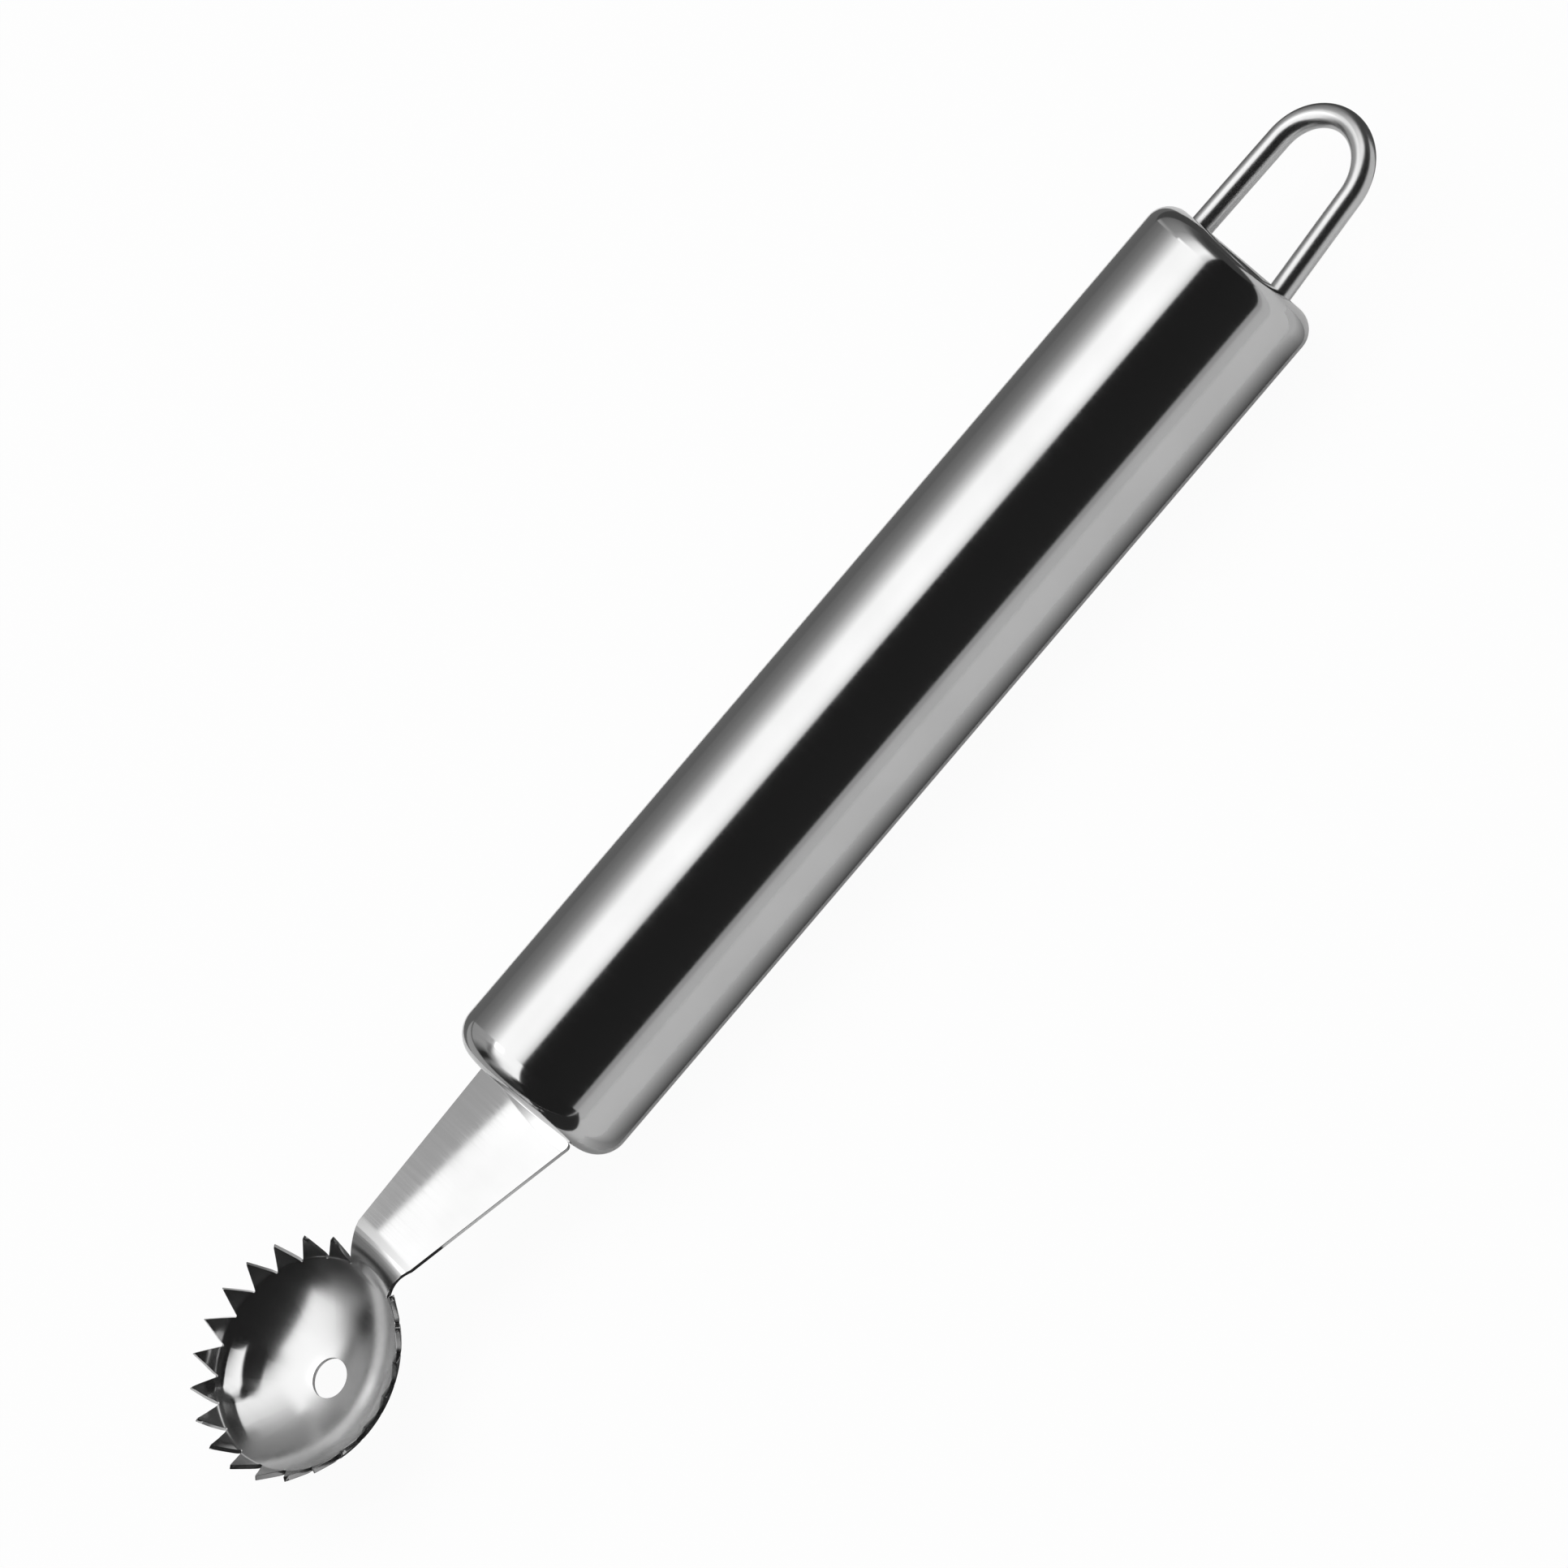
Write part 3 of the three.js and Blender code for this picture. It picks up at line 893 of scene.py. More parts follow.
@dataclass
class Scoop:
    """The toothed scoop, one stamping of sheet: tang, neck, bend, dish and teeth."""

    axis: Axis
    sheet: float = 0.5
    tang_length: float = 12.0
    tang_corner: float = 1.0
    tang_drop: float = 0.5
    tang_share: float = 2 / 3  # of the neck's shoulder that the tang is wide
    neck_length: float = 19.95
    neck_half: float = 7.35
    neck_corner: float = 0.6
    waist_half: float = 4.525
    neck_rise: float = math.radians(8)
    rise_start: float = 0.45  # where the neck starts to rise, inside the handle
    camber: float = math.radians(0.55)  # turn of the neck's surface in each mm across it
    camber_end: float = 0.8  # how far the camber goes on inside the handle
    bend_radius: float = 2.8
    root_flat: float = 0.87
    root_blend: float = 2.4  # distance over which the neck takes on the round of the dish
    lean: float = math.radians(5.9)
    tip_radius: float = 12.75
    depth: float = 7.0
    rim_height: float = 2.2
    knuckle_radius: float = 2.0
    flare: float = math.radians(31)
    pitches: int = 22
    neck_pitches: int = 2
    land: float = 0.25
    notch_floor: float = 0.2
    drain_radius: float = 2.1
    drain_shift: float = 0.32  # of the bottom of the dish towards the front
    joint_gap: float = 0.03  # between points of the neck and of the dish that are joined
    edge_break: float = 0.03
    edge_angle: float = math.radians(45)
    wave_height: float = 0.02
    wave_length: float = 7.0
    ripple_share: float = 0.4  # height of the ripples over that of the waves
    ripple_pace: float = 2.3  # number of ripples to a wave
    ripple_shift: tuple[float, float, float] = (7.0, 3.0, 5.0)
    plain_share: float = 0.95  # of the root's radius, beyond which the dish under the neck is plain
    swells: Sequence[Swell] = (
        Swell(125, 19, ((7.4, 0.0), (9.1, 0.15), (10.6, -0.4), (11.8, 0.0))),
        Swell(157, 17, ((8.4, 0.0), (9.8, -0.14), (11.0, 0.2), (11.8, 0.0))),
    )
    dome_rows: int = 44
    knuckle_rows: int = 5
    tooth_rows: int = 8
    tooth_columns: int = 4
    neck_columns: int = 36
    tang_end_rows: int = 1
    tang_rows: int = 5
    rise_rows: int = 5
    inside_rows: int = 1
    corner_rows: int = 8
    neck_rows: int = 28
    bend_rows: int = 22
    root_rows: int = 4

    def __post_init__(self) -> None:
        """Works out the arcs of the dish from its sizes."""
        bowl_radius = self.tip_radius - self.rim_height * math.tan(self.flare)
        bowl_depth = self.depth - self.rim_height
        self.dome_radius = (bowl_radius**2 + bowl_depth**2) / (2 * bowl_depth)
        self.dome = Vector((0, self.dome_radius - self.depth))
        self.up_rim = Vector((math.sin(self.flare), math.cos(self.flare)))
        inwards = Vector((-math.cos(self.flare), math.sin(self.flare)))
        start = Vector((self.tip_radius, 0)) + self.knuckle_radius * inwards
        from_dome = start - self.dome
        along = -from_dome.dot(self.up_rim)
        apart = self.dome_radius - self.knuckle_radius
        run = -along + math.sqrt(along**2 - from_dome.length_squared + apart**2)
        self.knuckle = start - run * self.up_rim
        self.root_angle = math.atan2(self.knuckle.x, self.dome.y - self.knuckle.y)
        self.rim_angle = math.pi / 2 - self.flare
        self.pitch = 2 * math.pi / self.pitches
        self.neck_turn = self.pitch * self.neck_pitches / 2
        self.root = arc(
            self.dome, self.dome_radius - self.sheet / 2, self.root_angle, self.root_angle, 1
        )[0]
        self.tip = Vector((self.tip_radius - self.sheet / 2 / math.cos(self.flare), 0))
        self.rearwards = Vector((math.cos(self.lean), 0, math.sin(self.lean)))
        self.upwards = Vector((-math.sin(self.lean), 0, math.cos(self.lean)))

    def dome_line(self) -> list[Vector]:
        """Finds the middle of the dish wall from the drain hole to the root of the teeth.

        Returns:
            Points as (radius, up), in mm.
        """
        radius = self.dome_radius - self.sheet / 2
        first = math.asin(self.drain_radius / radius)
        return arc(self.dome, radius, first, self.root_angle, self.dome_rows)

    def tooth_line(self) -> list[Vector]:
        """Finds the middle of the wall from the root of a tooth to its tip.

        Returns:
            Points as (radius, up), in mm.
        """
        bend = arc(
            self.knuckle, self.knuckle_radius - self.sheet / 2,
            self.root_angle, self.rim_angle, self.knuckle_rows,
        )
        top = self.tip + self.sheet / 2 * math.tan(self.flare) * self.up_rim
        rise = [bend[-1].lerp(top, i / self.tooth_rows) for i in range(1, self.tooth_rows + 1)]
        return bend + rise

    def tooth_angles(self, place: Vector) -> list[float]:
        """Finds the columns of a tooth between the notches at its sides.

        Args:
            place: (radius, up) of a place on the wall.

        Returns:
            Angles round the mouth from the start of the pitch.
        """
        slant = (self.tip - self.root).dot(self.up_rim)
        share = (place - self.root).dot(self.up_rim) / slant
        narrowest = self.notch_floor / 2
        widest = self.tip.x * math.sin(self.pitch / 2) - self.land / 2
        side = math.asin((narrowest + (widest - narrowest) * share) / place.x)
        span = self.pitch - 2 * side
        return [side + span * i / self.tooth_columns for i in range(self.tooth_columns + 1)]

    @staticmethod
    def round_point(place: Vector, angle: float) -> Vector:
        """A (radius, up) place turned round the mouth's axis."""
        return Vector((place.x * math.cos(angle), place.x * math.sin(angle), place.y))

    def pitch_mesh(self) -> Mesh:
        """Builds the middle surface of one pitch: its share of the dish and one tooth.

        Returns:
            The mesh in the mouth's frame, in mm.
        """
        at_root = [0.0, *self.tooth_angles(self.root), self.pitch]
        dome = self.dome_line()
        width = len(at_root)
        points = [self.round_point(place, a) for place in dome for a in at_root]
        faces = grid_faces(len(dome), width)
        below = [(len(dome) - 1) * width + i for i in range(1, width - 1)]
        for place in self.tooth_line()[1:]:
            first = len(points)
            points += [self.round_point(place, a) for a in self.tooth_angles(place)]
            above = list(range(first, len(points)))
            for i in range(len(above) - 1):
                faces.append((below[i], below[i + 1], above[i + 1], above[i]))
            below = above
        return mesh_from("pitch", points, faces)

    def ring_tree(self) -> NodeTree:
        """Builds the geometry tree that sets the pitches round the mouth and joins them.

        Returns:
            The tree.
        """
        tree = geometry_tree("tooth_ring", {
            "Teeth": "NodeSocketInt",
            "Pitch angle": "NodeSocketFloat",
            "First angle": "NodeSocketFloat",
            "Joining distance": "NodeSocketFloat",
            "Finish": "NodeSocketMaterial",
        })
        given = add_node(tree, "NodeGroupInput").outputs
        places = add_node(tree, "GeometryNodeMeshLine", {
            "Count": given["Teeth"], "Offset": (0.0, 0.0, 0.0),
        })
        number = add_node(tree, "GeometryNodeInputIndex")
        turn = add_node(
            tree, "ShaderNodeMath",
            {0: number.outputs[0], 1: given["Pitch angle"], 2: given["First angle"]},
            operation="MULTIPLY_ADD",
        )
        spin = add_node(tree, "FunctionNodeAxisAngleToRotation", {
            "Axis": (0.0, 0.0, 1.0), "Angle": turn.outputs[0],
        })
        ring = add_node(tree, "GeometryNodeInstanceOnPoints", {
            "Points": places.outputs[0],
            "Instance": given["Geometry"],
            "Rotation": spin.outputs[0],
        })
        real = add_node(tree, "GeometryNodeRealizeInstances", {"Geometry": ring.outputs[0]})
        joined = add_node(tree, "GeometryNodeMergeByDistance", {
            "Geometry": real.outputs[0], "Distance": given["Joining distance"],
        })
        dressed = add_node(tree, "GeometryNodeSetMaterial", {
            "Geometry": joined.outputs[0], "Material": given["Finish"],
        })
        add_node(tree, "NodeGroupOutput", {"Geometry": dressed.outputs[0]})
        return tree

    def tooth_ring(self, finish: Material) -> Object:
        """Sets the pitches round the mouth, leaving the neck's place open.

        Args:
            finish: material of the scoop.

        Returns:
            The ring in the mouth's own frame, in mm.
        """
        ring = link_object("tooth_ring", self.pitch_mesh())
        run_tree(ring, self.ring_tree(), {
            "Teeth": self.pitches - self.neck_pitches,
            "Pitch angle": self.pitch,
            "First angle": self.neck_turn,
            "Joining distance": MERGE_DISTANCE / MM,
            "Finish": finish,
        })
        return ring

    def shares(self) -> list[float]:
        """Places of the neck's columns across it, from -1 to 1."""
        return [2 * i / self.neck_columns - 1 for i in range(self.neck_columns + 1)]

    def neck_angles(self) -> list[float]:
        """Angles round the mouth at which the neck's columns meet the dish."""
        return [math.asin(s * math.sin(self.neck_turn)) for s in self.shares()]

    def neck_dome_mesh(self) -> Mesh:
        """Builds the middle surface of the dish under the neck.

        Returns:
            The mesh in the mouth's frame, in mm.
        """
        angles = self.neck_angles()
        dome = self.dome_line()
        points = [self.round_point(p, a) for p in dome for a in angles]
        return mesh_from("neck_dome", points, grid_faces(len(dome), len(angles)))

    def neck_path(self) -> list[Station]:
        """Follows the middle of the sheet from the end of the tang to the root.

        Returns:
            Stations in the tool's frame, in mm.
        """
        over = self.rise_start + self.neck_corner
        drop = self.tang_drop + over * math.tan(self.neck_rise)
        slant = 1 / math.cos(self.neck_rise)
        run = self.neck_length - self.neck_corner - self.bend_radius * self.neck_rise
        tang = self.tang_length - self.tang_corner - self.rise_start
        path = [Station(self.tang_length, -drop, math.pi)]
        path += path[-1].straight(self.tang_corner, self.tang_end_rows)
        path += path[-1].straight(tang, self.tang_rows)
        path += path[-1].bend(-self.neck_rise, self.bend_radius, self.rise_rows)
        inside = path[-1].x * slant
        corner = self.neck_corner * slant
        path += path[-1].straight(inside, self.inside_rows)
        path += path[-1].straight(corner, self.corner_rows)
        path += path[-1].straight(run + over * slant - inside - corner, self.neck_rows)
        down = self.neck_rise + self.root_angle + self.lean
        path += path[-1].bend(down, self.bend_radius, self.bend_rows)
        return path + path[-1].straight(self.root_flat, self.root_rows)

    def half_width(self, x: float, bend_x: float, root_x: float) -> float:
        """Half width of the neck in plan.

        Args:
            x: place along the handle.
            bend_x: where the bend starts.
            root_x: where the neck meets the dish.

        Returns:
            The half width, in mm.
        """
        valley = self.root.x * math.sin(self.neck_turn)
        shoulder = self.neck_half - self.neck_corner
        if x >= 0:
            return shoulder
        if x > -self.neck_corner:
            inside = x + self.neck_corner
            return shoulder + math.sqrt(max(0.0, self.neck_corner**2 - inside**2))
        if x > bend_x:
            share = (x + self.neck_corner) / (bend_x + self.neck_corner)
            return self.neck_half + (self.waist_half - self.neck_half) * share
        share = (x - bend_x) / (root_x - bend_x)
        return self.waist_half + (valley - self.waist_half) * share

    def neck_mesh(self) -> Mesh:
        """Builds the middle surface of the neck and tang.

        Returns:
            The mesh in the tool's frame, in mm.
        """
        path = self.neck_path()
        root = path[-1]
        risen = math.pi - self.neck_rise + NEARLY
        bend_start = next(s for s in reversed(path) if s.heading <= risen)
        columns = list(zip(self.shares(), self.neck_angles()))
        points: list[Vector] = []
        rows: list[list[int]] = []
        for station in path:
            half = self.half_width(station.x, bend_start.x, root.x)
            up = Vector((math.sin(station.heading), 0, -math.cos(station.heading)))
            turned = (station.heading - bend_start.heading) / (root.heading - bend_start.heading)
            cambered = (1 - smooth(turned)) * (1 - smooth(station.x / self.camber_end))
            to_root = math.hypot(station.x - root.x, station.z - root.z)
            rounding = smooth(1 - to_root / self.root_blend)
            inside = station.x > NEARLY
            row = []
            for share, angle in columns:
                if inside and abs(share) > self.tang_share + NEARLY:
                    continue
                y = share * half
                if station.x > self.tang_length - NEARLY:
                    y *= 1 - self.tang_corner / (half * self.tang_share)
                crown = self.camber / 2 * (half**2 / 2 - y**2) * cambered
                round_in = self.root.x * (math.cos(angle) - 1) * rounding
                middle = Vector((station.x, y, station.z))
                points.append(middle + crown * up + round_in * self.rearwards)
                row.append(len(points) - 1)
            rows.append(row)
        faces = []
        for here, there in zip(rows, rows[1:]):
            trim = (len(there) - len(here)) // 2
            below = there[trim:len(there) - trim]
            faces += [
                (here[i], here[i + 1], below[i + 1], below[i]) for i in range(len(here) - 1)
            ]
        return mesh_from("neck", points, faces)

    def mouth_frame(self) -> Matrix:
        """Finds the mouth's own frame.

        Returns:
            The frame in the tool's frame, in mm.
        """
        root = self.neck_path()[-1]
        mouth = Vector((root.x, 0, root.z))
        mouth = mouth - self.root.x * self.rearwards - self.root.y * self.upwards
        return Matrix.Translation(mouth) @ Matrix.Rotation(-self.lean, 4, "Y")

    def stamp(self, shape: BMesh) -> None:
        """Gives the dish the shallow waves and swells that stamping leaves in the sheet.

        Args:
            shape: the scoop's middle surface, in the mouth's frame.
        """
        shape.normal_update()
        for vert in shape.verts:
            reach = vert.co.xy.length
            plain = vert.co.x > self.root.x * self.plain_share
            if plain and abs(vert.co.y) < self.neck_half:
                continue
            place = vert.co / self.wave_length
            wave = noise.noise(place)
            ripple = noise.noise(place * self.ripple_pace + Vector(self.ripple_shift))
            level = smooth(reach / self.root.x)
            away = self.wave_height * (wave + self.ripple_share * ripple) * level
            turn = math.degrees(math.atan2(vert.co.y, vert.co.x))
            away += sum(swell.height(reach, turn) for swell in self.swells)
            vert.co += vert.normal * math.copysign(away, away * vert.normal.z)
            vert.co.x -= self.drain_shift * max(1 - (reach / self.root.x) ** 2, 0.0)

    def build(self, finish: Material) -> list[Object]:
        """Builds and dresses the scoop.

        Args:
            finish: its material.

        Returns:
            The finished piece.
        """
        ring = self.tooth_ring(finish)
        shape = bmesh.new()
        shape.from_mesh(ring.data)
        bpy.data.objects.remove(ring)
        shape.from_mesh(self.neck_dome_mesh())
        bmesh.ops.remove_doubles(shape, verts=shape.verts, dist=MERGE_DISTANCE / MM)
        self.stamp(shape)
        shape.transform(self.mouth_frame())
        shape.from_mesh(self.neck_mesh())
        bmesh.ops.remove_doubles(shape, verts=shape.verts, dist=self.joint_gap)
        bmesh.ops.recalc_face_normals(shape, faces=shape.faces)
        shape.transform(self.axis.matrix())
        scoop = object_from("toothed_scoop", shape)
        wall = scoop.modifiers.new("sheet", "SOLIDIFY")
        wall.thickness = self.sheet * MM
        wall.offset = 0
        wall.use_even_offset = True
        edges = scoop.modifiers.new("edge_break", "BEVEL")
        edges.width = self.edge_break * MM
        edges.segments = 1
        edges.limit_method = "ANGLE"
        edges.angle_limit = self.edge_angle
        edges.use_clamp_overlap = False
        settle(scoop)
        return [dress(scoop, finish, Slot.POLISHED, "scoop")]


@dataclass(frozen=True)
class HiddenWelds:
    """The welds inside the handle, which show as their own solids."""

    nodes: tuple[str, ...] = (
        "tang_weld_upper", "tang_weld_lower", "loop_weld_left", "loop_weld_right",
    )

    def build(self, finish: Material) -> list[Object]:
        """Dresses the solids.

        Args:
            finish: their material.

        Returns:
            The dressed solids.
        """
        welds = [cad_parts[name] for name in self.nodes]
        for weld in welds:
            weld.data.materials.clear()
            weld.data.materials.append(finish)
        return welds


# Brightness round the tent, as (degrees from the front horizon over the top, brightness). FRONT is
# the black stripe of the handle with the strip below it, and TOP is the light over it. The handle
# mirrors the middle, the neck a narrow part beside it, and the bend, the dish and the corner of
# the front cap mirror the left, which gets darker the further it is from the tool.
FRONT_STRIP: Stops = ((0, 0.46), (5.8, 0.44), (6.7, 0.022), (82, 0.017))
FRONT_BLACK: Stops = ((0, 0.02), (80.8, 0.02))
FRONT_GREY: Stops = ((0, 0.07), (82, 0.07))
TOP_MIDDLE: Stops = (
    (83.2, 0.85), (86, 1.15), (90, 1.42), (95, 1.58), (100, 1.62), (122, 1.56), (127, 1.28),
    (132, 1.0), (137, 0.78), (142, 0.58), (147, 0.45), (159, 0.28), (172, 0.21), (180, 0.19),
)
TOP_NECK: Stops = ((83.2, 0.9), (95, 1.6), (129.8, 1.7), (130.6, 0.54), (180, 0.45))
TOP_RIGHT: Stops = (
    (83.2, 0.9), (95, 1.55), (100, 1.5), (115, 1.15), (125, 0.75), (140, 0.4), (180, 0.2),
)
TOP_RIGHT_END: Stops = ((83.2, 0.16), (180, 0.12))
TOP_GREY: Stops = ((83.2, 0.07), (180, 0.07))
TOP_LEFT_LAMP: Stops = (
    (81.2, 1.6), (111, 1.6), (114, 2.8), (125, 2.8), (127, 1.5), (129, 0.8), (131, 0.6),
    (134, 0.55), (138, 0.55), (145, 0.46), (180, 0.38),
)
TOP_LEFT_EDGE: Stops = (
    (81.2, 1.6), (124, 1.6), (127, 1.2), (130, 0.5), (133, 0.3), (136, 0.4), (145, 0.42),
    (180, 0.4),
)
TOP_LEFT_NEAR: Stops = (
    (81.2, 1.6), (124, 1.6), (129, 1.0), (132, 0.4), (134.5, 0.2), (137, 0.22), (141, 0.35),
    (145, 0.46), (180, 0.4),
)
TOP_LEFT: Stops = (
    (81.2, 1.6), (112, 1.5), (124, 1.3), (131, 0.8), (135, 0.35), (138, 0.2), (142, 0.2),
    (146, 0.4), (152, 0.36), (165, 0.3), (180, 0.2),
)
TOP_LEFT_DARK: Stops = (
    (81.2, 1.6), (112, 1.4), (122, 1.0), (130, 0.6), (138, 0.35), (143, 0.2), (146, 0.13),
    (150, 0.07), (154, 0.03), (180, 0.03),
)
TOP_LEFT_GREY: Stops = (
    (81.2, 1.6), (112, 1.3), (122, 0.95), (130, 0.6), (138, 0.42), (148, 0.32), (163, 0.2),
    (180, 0.28),
)
TOP_LEFT_FAR: Stops = (
    (81.2, 0.03), (88, 0.04), (94, 0.8), (112, 0.75), (124, 0.6), (145, 0.4), (158, 0.26),
    (170, 0.1), (180, 0.05),
)
TOP_LEFT_END: Stops = (
    (81.2, 0.03), (99, 0.04), (106, 0.4), (113, 0.5), (125, 0.36), (146, 0.2), (161, 0.12),
    (180, 0.04),
)
TOP_LEFT_LAST: Stops = (
    (81.2, 0.03), (102, 0.04), (114, 0.2), (146, 0.16), (161, 0.1), (180, 0.04),
)
TOP_BLACK: Stops = ((81.2, 0.06), (180, 0.03))


@dataclass(frozen=True)
class TentStation:
    """How bright the studio tent is at one place along the handle."""

    x: float  # in metres from the middle of the tool
    stops: Stops


@dataclass(frozen=True)
class TableCard:
    """A card on the table, with a brightness at each corner."""

    name: str
    x: tuple[float, float]  # its ends along the handle, in metres
    y: tuple[float, float]  # its near and far ends across the handle, in metres
    glow: tuple[float, float, float, float]  # at near left, near right, far right and far left


@dataclass(frozen=True)
class EndWall:
    """A wall that closes one end of the tent."""

    name: str
    x: float  # its place along the handle, in metres
    glow: float


@dataclass(frozen=True)
class SoftLamp:
    """A square soft light that points at the tool."""

    name: str
    place: tuple[float, float, float]  # in metres
    size: float  # side, in metres
    power: float  # in watts


@dataclass
class Studio:
    """Pale floor, white surroundings, soft lights and the tent that the metal mirrors.

    Sizes are in metres.
    """

    floor_height: float
    floor_size: float = 14.0
    paper: MattPaper = MattPaper()
    surround: float = 0.42  # strength of the white surroundings as light on the floor
    card_lift: float = 0.0002
    tent_radius: float = 2.0  # round the line on the floor under the tool
    tent_step: int = 2  # in degrees
    wall_size: float = 1.1  # of the end walls, in radii of the tent
    tent: Sequence[TentStation] = (
        TentStation(-12.0, FRONT_BLACK + TOP_BLACK),
        TentStation(-6.0, FRONT_BLACK + TOP_BLACK),
        TentStation(-4.3, FRONT_BLACK + TOP_LEFT_LAST),
        TentStation(-3.7, FRONT_BLACK + TOP_LEFT_END),
        TentStation(-3.1, FRONT_BLACK + TOP_LEFT_FAR),
        TentStation(-2.7, FRONT_BLACK + TOP_LEFT_GREY),
        TentStation(-2.3, FRONT_BLACK + TOP_LEFT_DARK),
        TentStation(-1.9, FRONT_BLACK + TOP_LEFT_DARK),
        TentStation(-1.4, FRONT_BLACK + TOP_LEFT),
        TentStation(-1.1, FRONT_BLACK + TOP_LEFT_NEAR),
        TentStation(-0.77, FRONT_BLACK + TOP_LEFT_EDGE),
        TentStation(-0.72, FRONT_BLACK + TOP_LEFT_LAMP),
        TentStation(-0.29, FRONT_BLACK + TOP_LEFT_LAMP),
        TentStation(-0.24, FRONT_STRIP + TOP_MIDDLE),
        TentStation(0.19, FRONT_STRIP + TOP_MIDDLE),
        TentStation(0.2, FRONT_STRIP + TOP_NECK),
        TentStation(0.3, FRONT_STRIP + TOP_NECK),
        TentStation(0.5, FRONT_STRIP + TOP_RIGHT),
        TentStation(1.7, FRONT_STRIP + TOP_RIGHT),
        TentStation(2.5, FRONT_STRIP + TOP_RIGHT_END),
        TentStation(3.7, FRONT_STRIP + TOP_GREY),
        TentStation(3.9, FRONT_GREY + TOP_GREY),
        TentStation(12.0, FRONT_GREY + TOP_GREY),
    )
    cards: Sequence[TableCard] = (
        TableCard("far_card", (-0.06, 0.085), (0.03, 0.25), (0.16, 0.16, 0.16, 0.16)),
        TableCard("far_sheet", (-4.0, -0.06), (0.03, 0.25), (0.42, 0.42, 0.42, 0.42)),
        TableCard("back_card", (-4.0, 0.085), (0.25, 2.0), (0.16, 0.16, 0.18, 0.18)),
        TableCard("right_flag", (0.085, 4.0), (-0.005, 2.0), (0.08, 0.08, 0.08, 0.08)),
        TableCard("near_sheet", (-0.06, 4.0), (-0.3, -0.06), (0.61, 0.61, 0.64, 0.64)),
        TableCard("front_sheet", (-0.28, 4.0), (-2.0, -0.3), (0.46, 0.46, 0.61, 0.61)),
        TableCard("left_flag", (-2.0, -0.28), (-2.0, -0.3), (0.03, 0.03, 0.03, 0.03)),
        TableCard("near_flag", (-2.0, -0.06), (-0.3, -0.004), (0.03, 0.03, 0.03, 0.03)),
        # painted shadow: contact_shade and its two fades are dim cards standing in for the floor's
        # contact shadow under the handle, as the metal mirrors it
        TableCard("contact_shade", (-0.034, 0.064), (-0.0175, -0.008), (0.62, 0.62, 0.06, 0.06)),
        TableCard("front_contact_shade_fade", (-0.05, -0.034), (-0.0175, -0.008), (0.62, 0.62, 0.06, 0.62)),
        TableCard("rear_contact_shade_fade", (0.064, 0.08), (-0.0175, -0.008), (0.62, 0.62, 0.62, 0.06)),
    )
    walls: Sequence[EndWall] = (
        EndWall("left_end_wall", -12.0, 0.02), EndWall("right_end_wall", 12.0, 0.07),
    )
    lamps: Sequence[SoftLamp] = (
        SoftLamp("overhead_lamp", (0.1, 0.25, 1.0), 0.9, 6.0),
        SoftLamp("fill_lamp", (-0.7, -0.6, 0.7), 0.7, 2.0),
    )

    def glow_material(self) -> Material:
        """Builds the cards' material, which shines as bright as each corner says.

        Returns:
            The material.
        """
        material, tree = new_material("studio_card")
        level = add_node(tree, "ShaderNodeAttribute", attribute_name="glow")
        light = add_node(tree, "ShaderNodeEmission", {"Strength": level.outputs["Fac"]})
        add_node(tree, "ShaderNodeOutputMaterial", {"Surface": light.outputs[0]})
        return material

    def show_to_metal(self, mesh: Mesh, glow: Sequence[float], material: Material) -> None:
        """Adds a glowing sheet that only mirrored rays see.

        Args:
            mesh: its mesh, whose name it takes.
            glow: brightness at each corner.
            material: the cards' material.
        """
        level = mesh.attributes.new("glow", "FLOAT", "POINT")
        level.data.foreach_set("value", list(glow))
        mesh.materials.append(material)
        sheet = link_object(mesh.name, mesh)
        sheet.visible_camera = False
        sheet.visible_diffuse = False
        sheet.visible_shadow = False
        sheet.visible_transmission = False

    def add_tent(self, material: Material) -> None:
        """Hangs the tent round the tool.

        Args:
            material: the cards' material.
        """
        angles = sorted(
            {float(a) for station in self.tent for a, _ in station.stops}
            | {float(a) for a in range(0, 180 + 1, self.tent_step)}
        )
        points, glow = [], []
        for station in self.tent:
            for angle in angles:
                turn = math.radians(angle)
                points.append(Vector((
                    station.x,
                    -self.tent_radius * math.cos(turn),
                    self.tent_radius * math.sin(turn) + self.floor_height,
                )))
                glow.append(between(station.stops, angle))
        faces = grid_faces(len(self.tent), len(angles))
        self.show_to_metal(mesh_from("tent", points, faces), glow, material)

    def add_table_card(self, card: TableCard, material: Material) -> None:
        """Lays a card on the table.

        Args:
            card: the card.
            material: the cards' material.
        """
        (left, right), (near, far) = card.x, card.y
        corners = [(left, near), (right, near), (right, far), (left, far)]
        points = [Vector((*corner, self.floor_height + self.card_lift)) for corner in corners]
        self.show_to_metal(mesh_from(card.name, points, [range(4)]), card.glow, material)

    def add_end_wall(self, wall: EndWall, material: Material) -> None:
        """Closes one end of the tent.

        Args:
            wall: the wall.
            material: the cards' material.
        """
        size = self.wall_size * self.tent_radius
        corners = [(-size, 0), (size, 0), (size, size), (-size, size)]
        points = [Vector((wall.x, y, self.floor_height + z)) for y, z in corners]
        glow = [wall.glow] * len(points)
        self.show_to_metal(mesh_from(wall.name, points, [range(4)]), glow, material)

    def add_floor(self) -> None:
        """Lays the floor."""
        half = self.floor_size / 2
        corners = [(-half, -half), (half, -half), (half, half), (-half, half)]
        points = [Vector((*corner, self.floor_height)) for corner in corners]
        mesh = mesh_from("floor", points, [range(4)])
        mesh.materials.append(self.paper.material())
        link_object("floor", mesh)

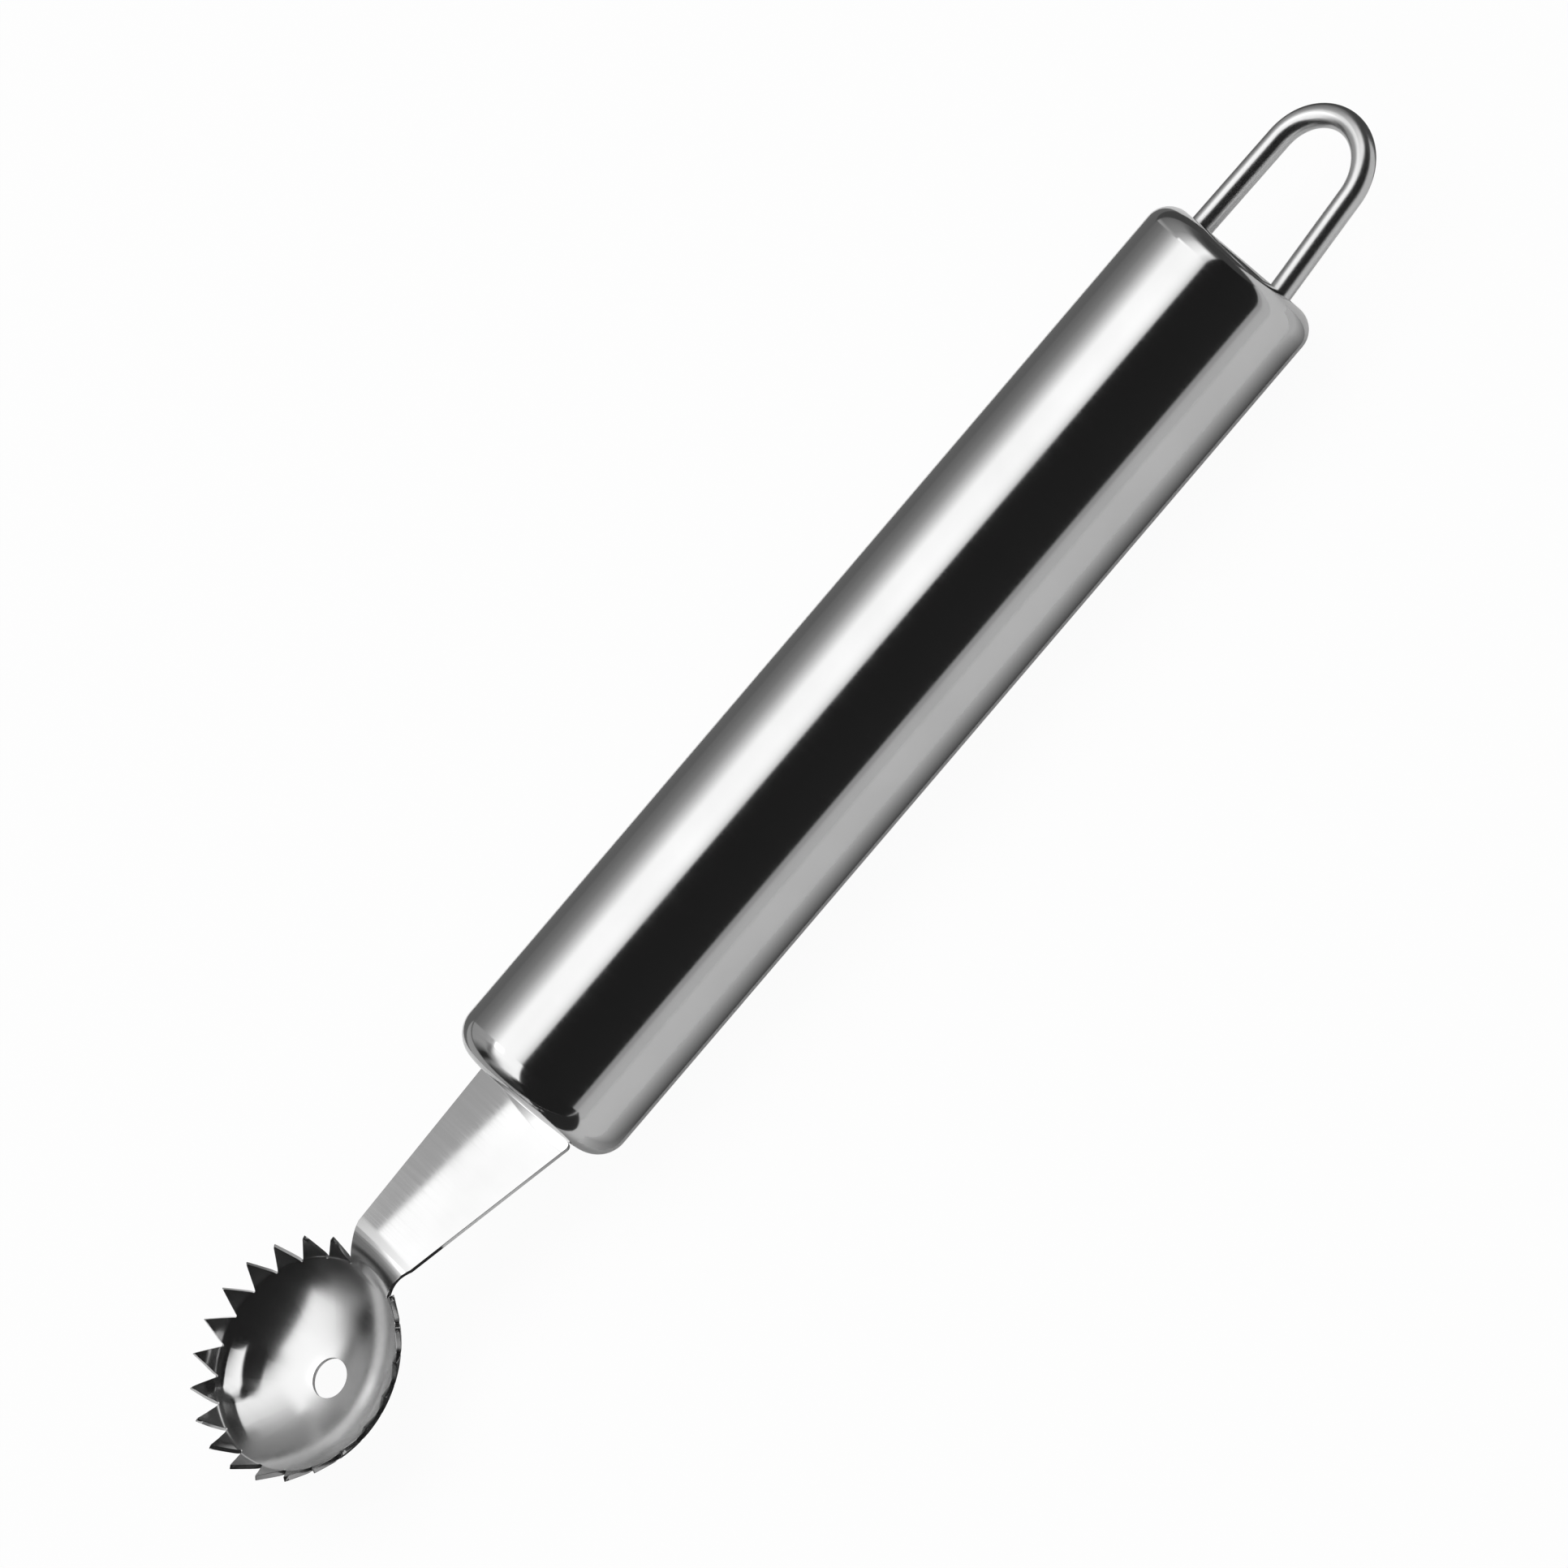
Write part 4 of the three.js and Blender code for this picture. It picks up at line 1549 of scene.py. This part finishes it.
    def add_world(self) -> None:
        """Surrounds the scene with white that the camera and the metal see, and soft light."""
        world = bpy.data.worlds.new("white_studio")
        world.use_nodes = True
        tree = world.node_tree
        tree.nodes.clear()
        path = add_node(tree, "ShaderNodeLightPath")
        seen = add_node(
            tree, "ShaderNodeMath",
            {0: path.outputs["Is Camera Ray"], 1: mirror_rays(tree, path)},
            operation="ADD", use_clamp=True,
        )
        fill = add_node(tree, "ShaderNodeBackground", {"Strength": self.surround})
        white = add_node(tree, "ShaderNodeBackground", {
            "Color": linear("#FFFFFF"), "Strength": 1.0,
        })
        mixed = add_node(tree, "ShaderNodeMixShader", {
            0: seen.outputs[0], 1: fill.outputs[0], 2: white.outputs[0],
        })
        add_node(tree, "ShaderNodeOutputWorld", {"Surface": mixed.outputs[0]})
        bpy.context.scene.world = world

    def add_lamp(self, lamp: SoftLamp) -> None:
        """Hangs a soft light.

        Args:
            lamp: the light.
        """
        light = bpy.data.lights.new(lamp.name, "AREA")
        light.size = lamp.size
        light.energy = lamp.power
        thing = bpy.data.objects.new(lamp.name, light)
        thing.location = lamp.place
        thing.rotation_euler = (-Vector(lamp.place)).to_track_quat("-Z", "Y").to_euler()
        thing.visible_glossy = False
        bpy.context.scene.collection.objects.link(thing)

    def build(self) -> None:
        """Sets up the whole studio."""
        material = self.glow_material()
        self.add_tent(material)
        for card in self.cards:
            self.add_table_card(card, material)
        for wall in self.walls:
            self.add_end_wall(wall, material)
        self.add_floor()
        self.add_world()
        for lamp in self.lamps:
            self.add_lamp(lamp)


@dataclass
class Camera:
    """The photograph's view: from the front and above, with the tool across the picture."""

    axis: Axis
    roll: float = math.radians(38.1)  # of the mouth's axis from the line of sight
    slope: float = math.radians(49.53)  # of the handle in the picture
    distance: float = 1600.0
    foot: float = 105.0  # place along the handle that the camera is square to
    aim: tuple[float, float] = (40.67, -0.97)  # along the handle, and across the picture from it
    scale: float = 12.45  # picture points to a millimetre
    picture: float = 1932.0  # width of the picture, in picture points
    sensor: float = 36.0
    clip: tuple[float, float] = (0.01, 100.0)  # in metres

    def build(self) -> None:
        """Adds the camera and makes it the scene's own."""
        across = Vector((0, -math.cos(self.roll), -math.sin(self.roll)))
        towards = Vector((0, -math.sin(self.roll), math.cos(self.roll)))
        place = self.axis.point(self.foot, 0, 0) + towards * self.distance * MM
        aim = self.axis.point(self.aim[0], 0, 0) + across * self.aim[1] * MM
        back = (place - aim).normalized()
        right = math.cos(self.slope) * Vector((1, 0, 0)) + math.sin(self.slope) * across
        right = (right - right.dot(back) * back).normalized()
        up = back.cross(right)
        lens = bpy.data.cameras.new("camera")
        lens.sensor_width = self.sensor
        lens.lens = self.scale * (place - aim).length / MM * self.sensor / self.picture
        lens.clip_start, lens.clip_end = self.clip
        camera = bpy.data.objects.new("camera", lens)
        turn = Matrix((right, up, back)).transposed().to_4x4()
        camera.matrix_world = Matrix.Translation(place) @ turn
        bpy.context.scene.collection.objects.link(camera)
        bpy.context.scene.camera = camera


def report(pieces: Sequence[Object]) -> None:
    """Logs each finished piece.

    Args:
        pieces: the pieces.
    """
    for piece in pieces:
        finish = piece.data.materials[0].name
        log.info("%s: %d faces, %s", piece.name, len(piece.data.polygons), finish)


def main() -> None:
    """Builds the tool, its studio and the camera."""
    logging.basicConfig(level=logging.INFO, format="%(name)s: %(message)s")
    bpy.context.scene.view_settings.view_transform = "Standard"
    axis = Axis.from_solids()
    Camera(axis).build()

    tube_steel = PolishedSteel("polished_stainless_tube").material()
    cap_steel = PolishedSteel("polished_stainless_cap").material()
    sheet_steel = PolishedSteel(
        "polished_stainless_sheet", roughness=0.05, depth=0.0002, satin=0.12,
        satin_span=(-60.2, -63.4),
    ).material()
    wire_steel = PolishedSteel("polished_stainless_wire", roughness=0.24).material()
    weld = WeldMetal().material()

    handle = Handle(axis)
    loop = HangingLoop(axis, rear_face=handle.length)
    report(handle.build(tube_steel, cap_steel, loop))
    report(loop.build(wire_steel))
    report(Scoop(axis).build(sheet_steel))
    report(HiddenWelds().build(weld))

    Studio(floor_height=axis.height - handle.radius * MM).build()


if __name__ == "__main__":
    main()
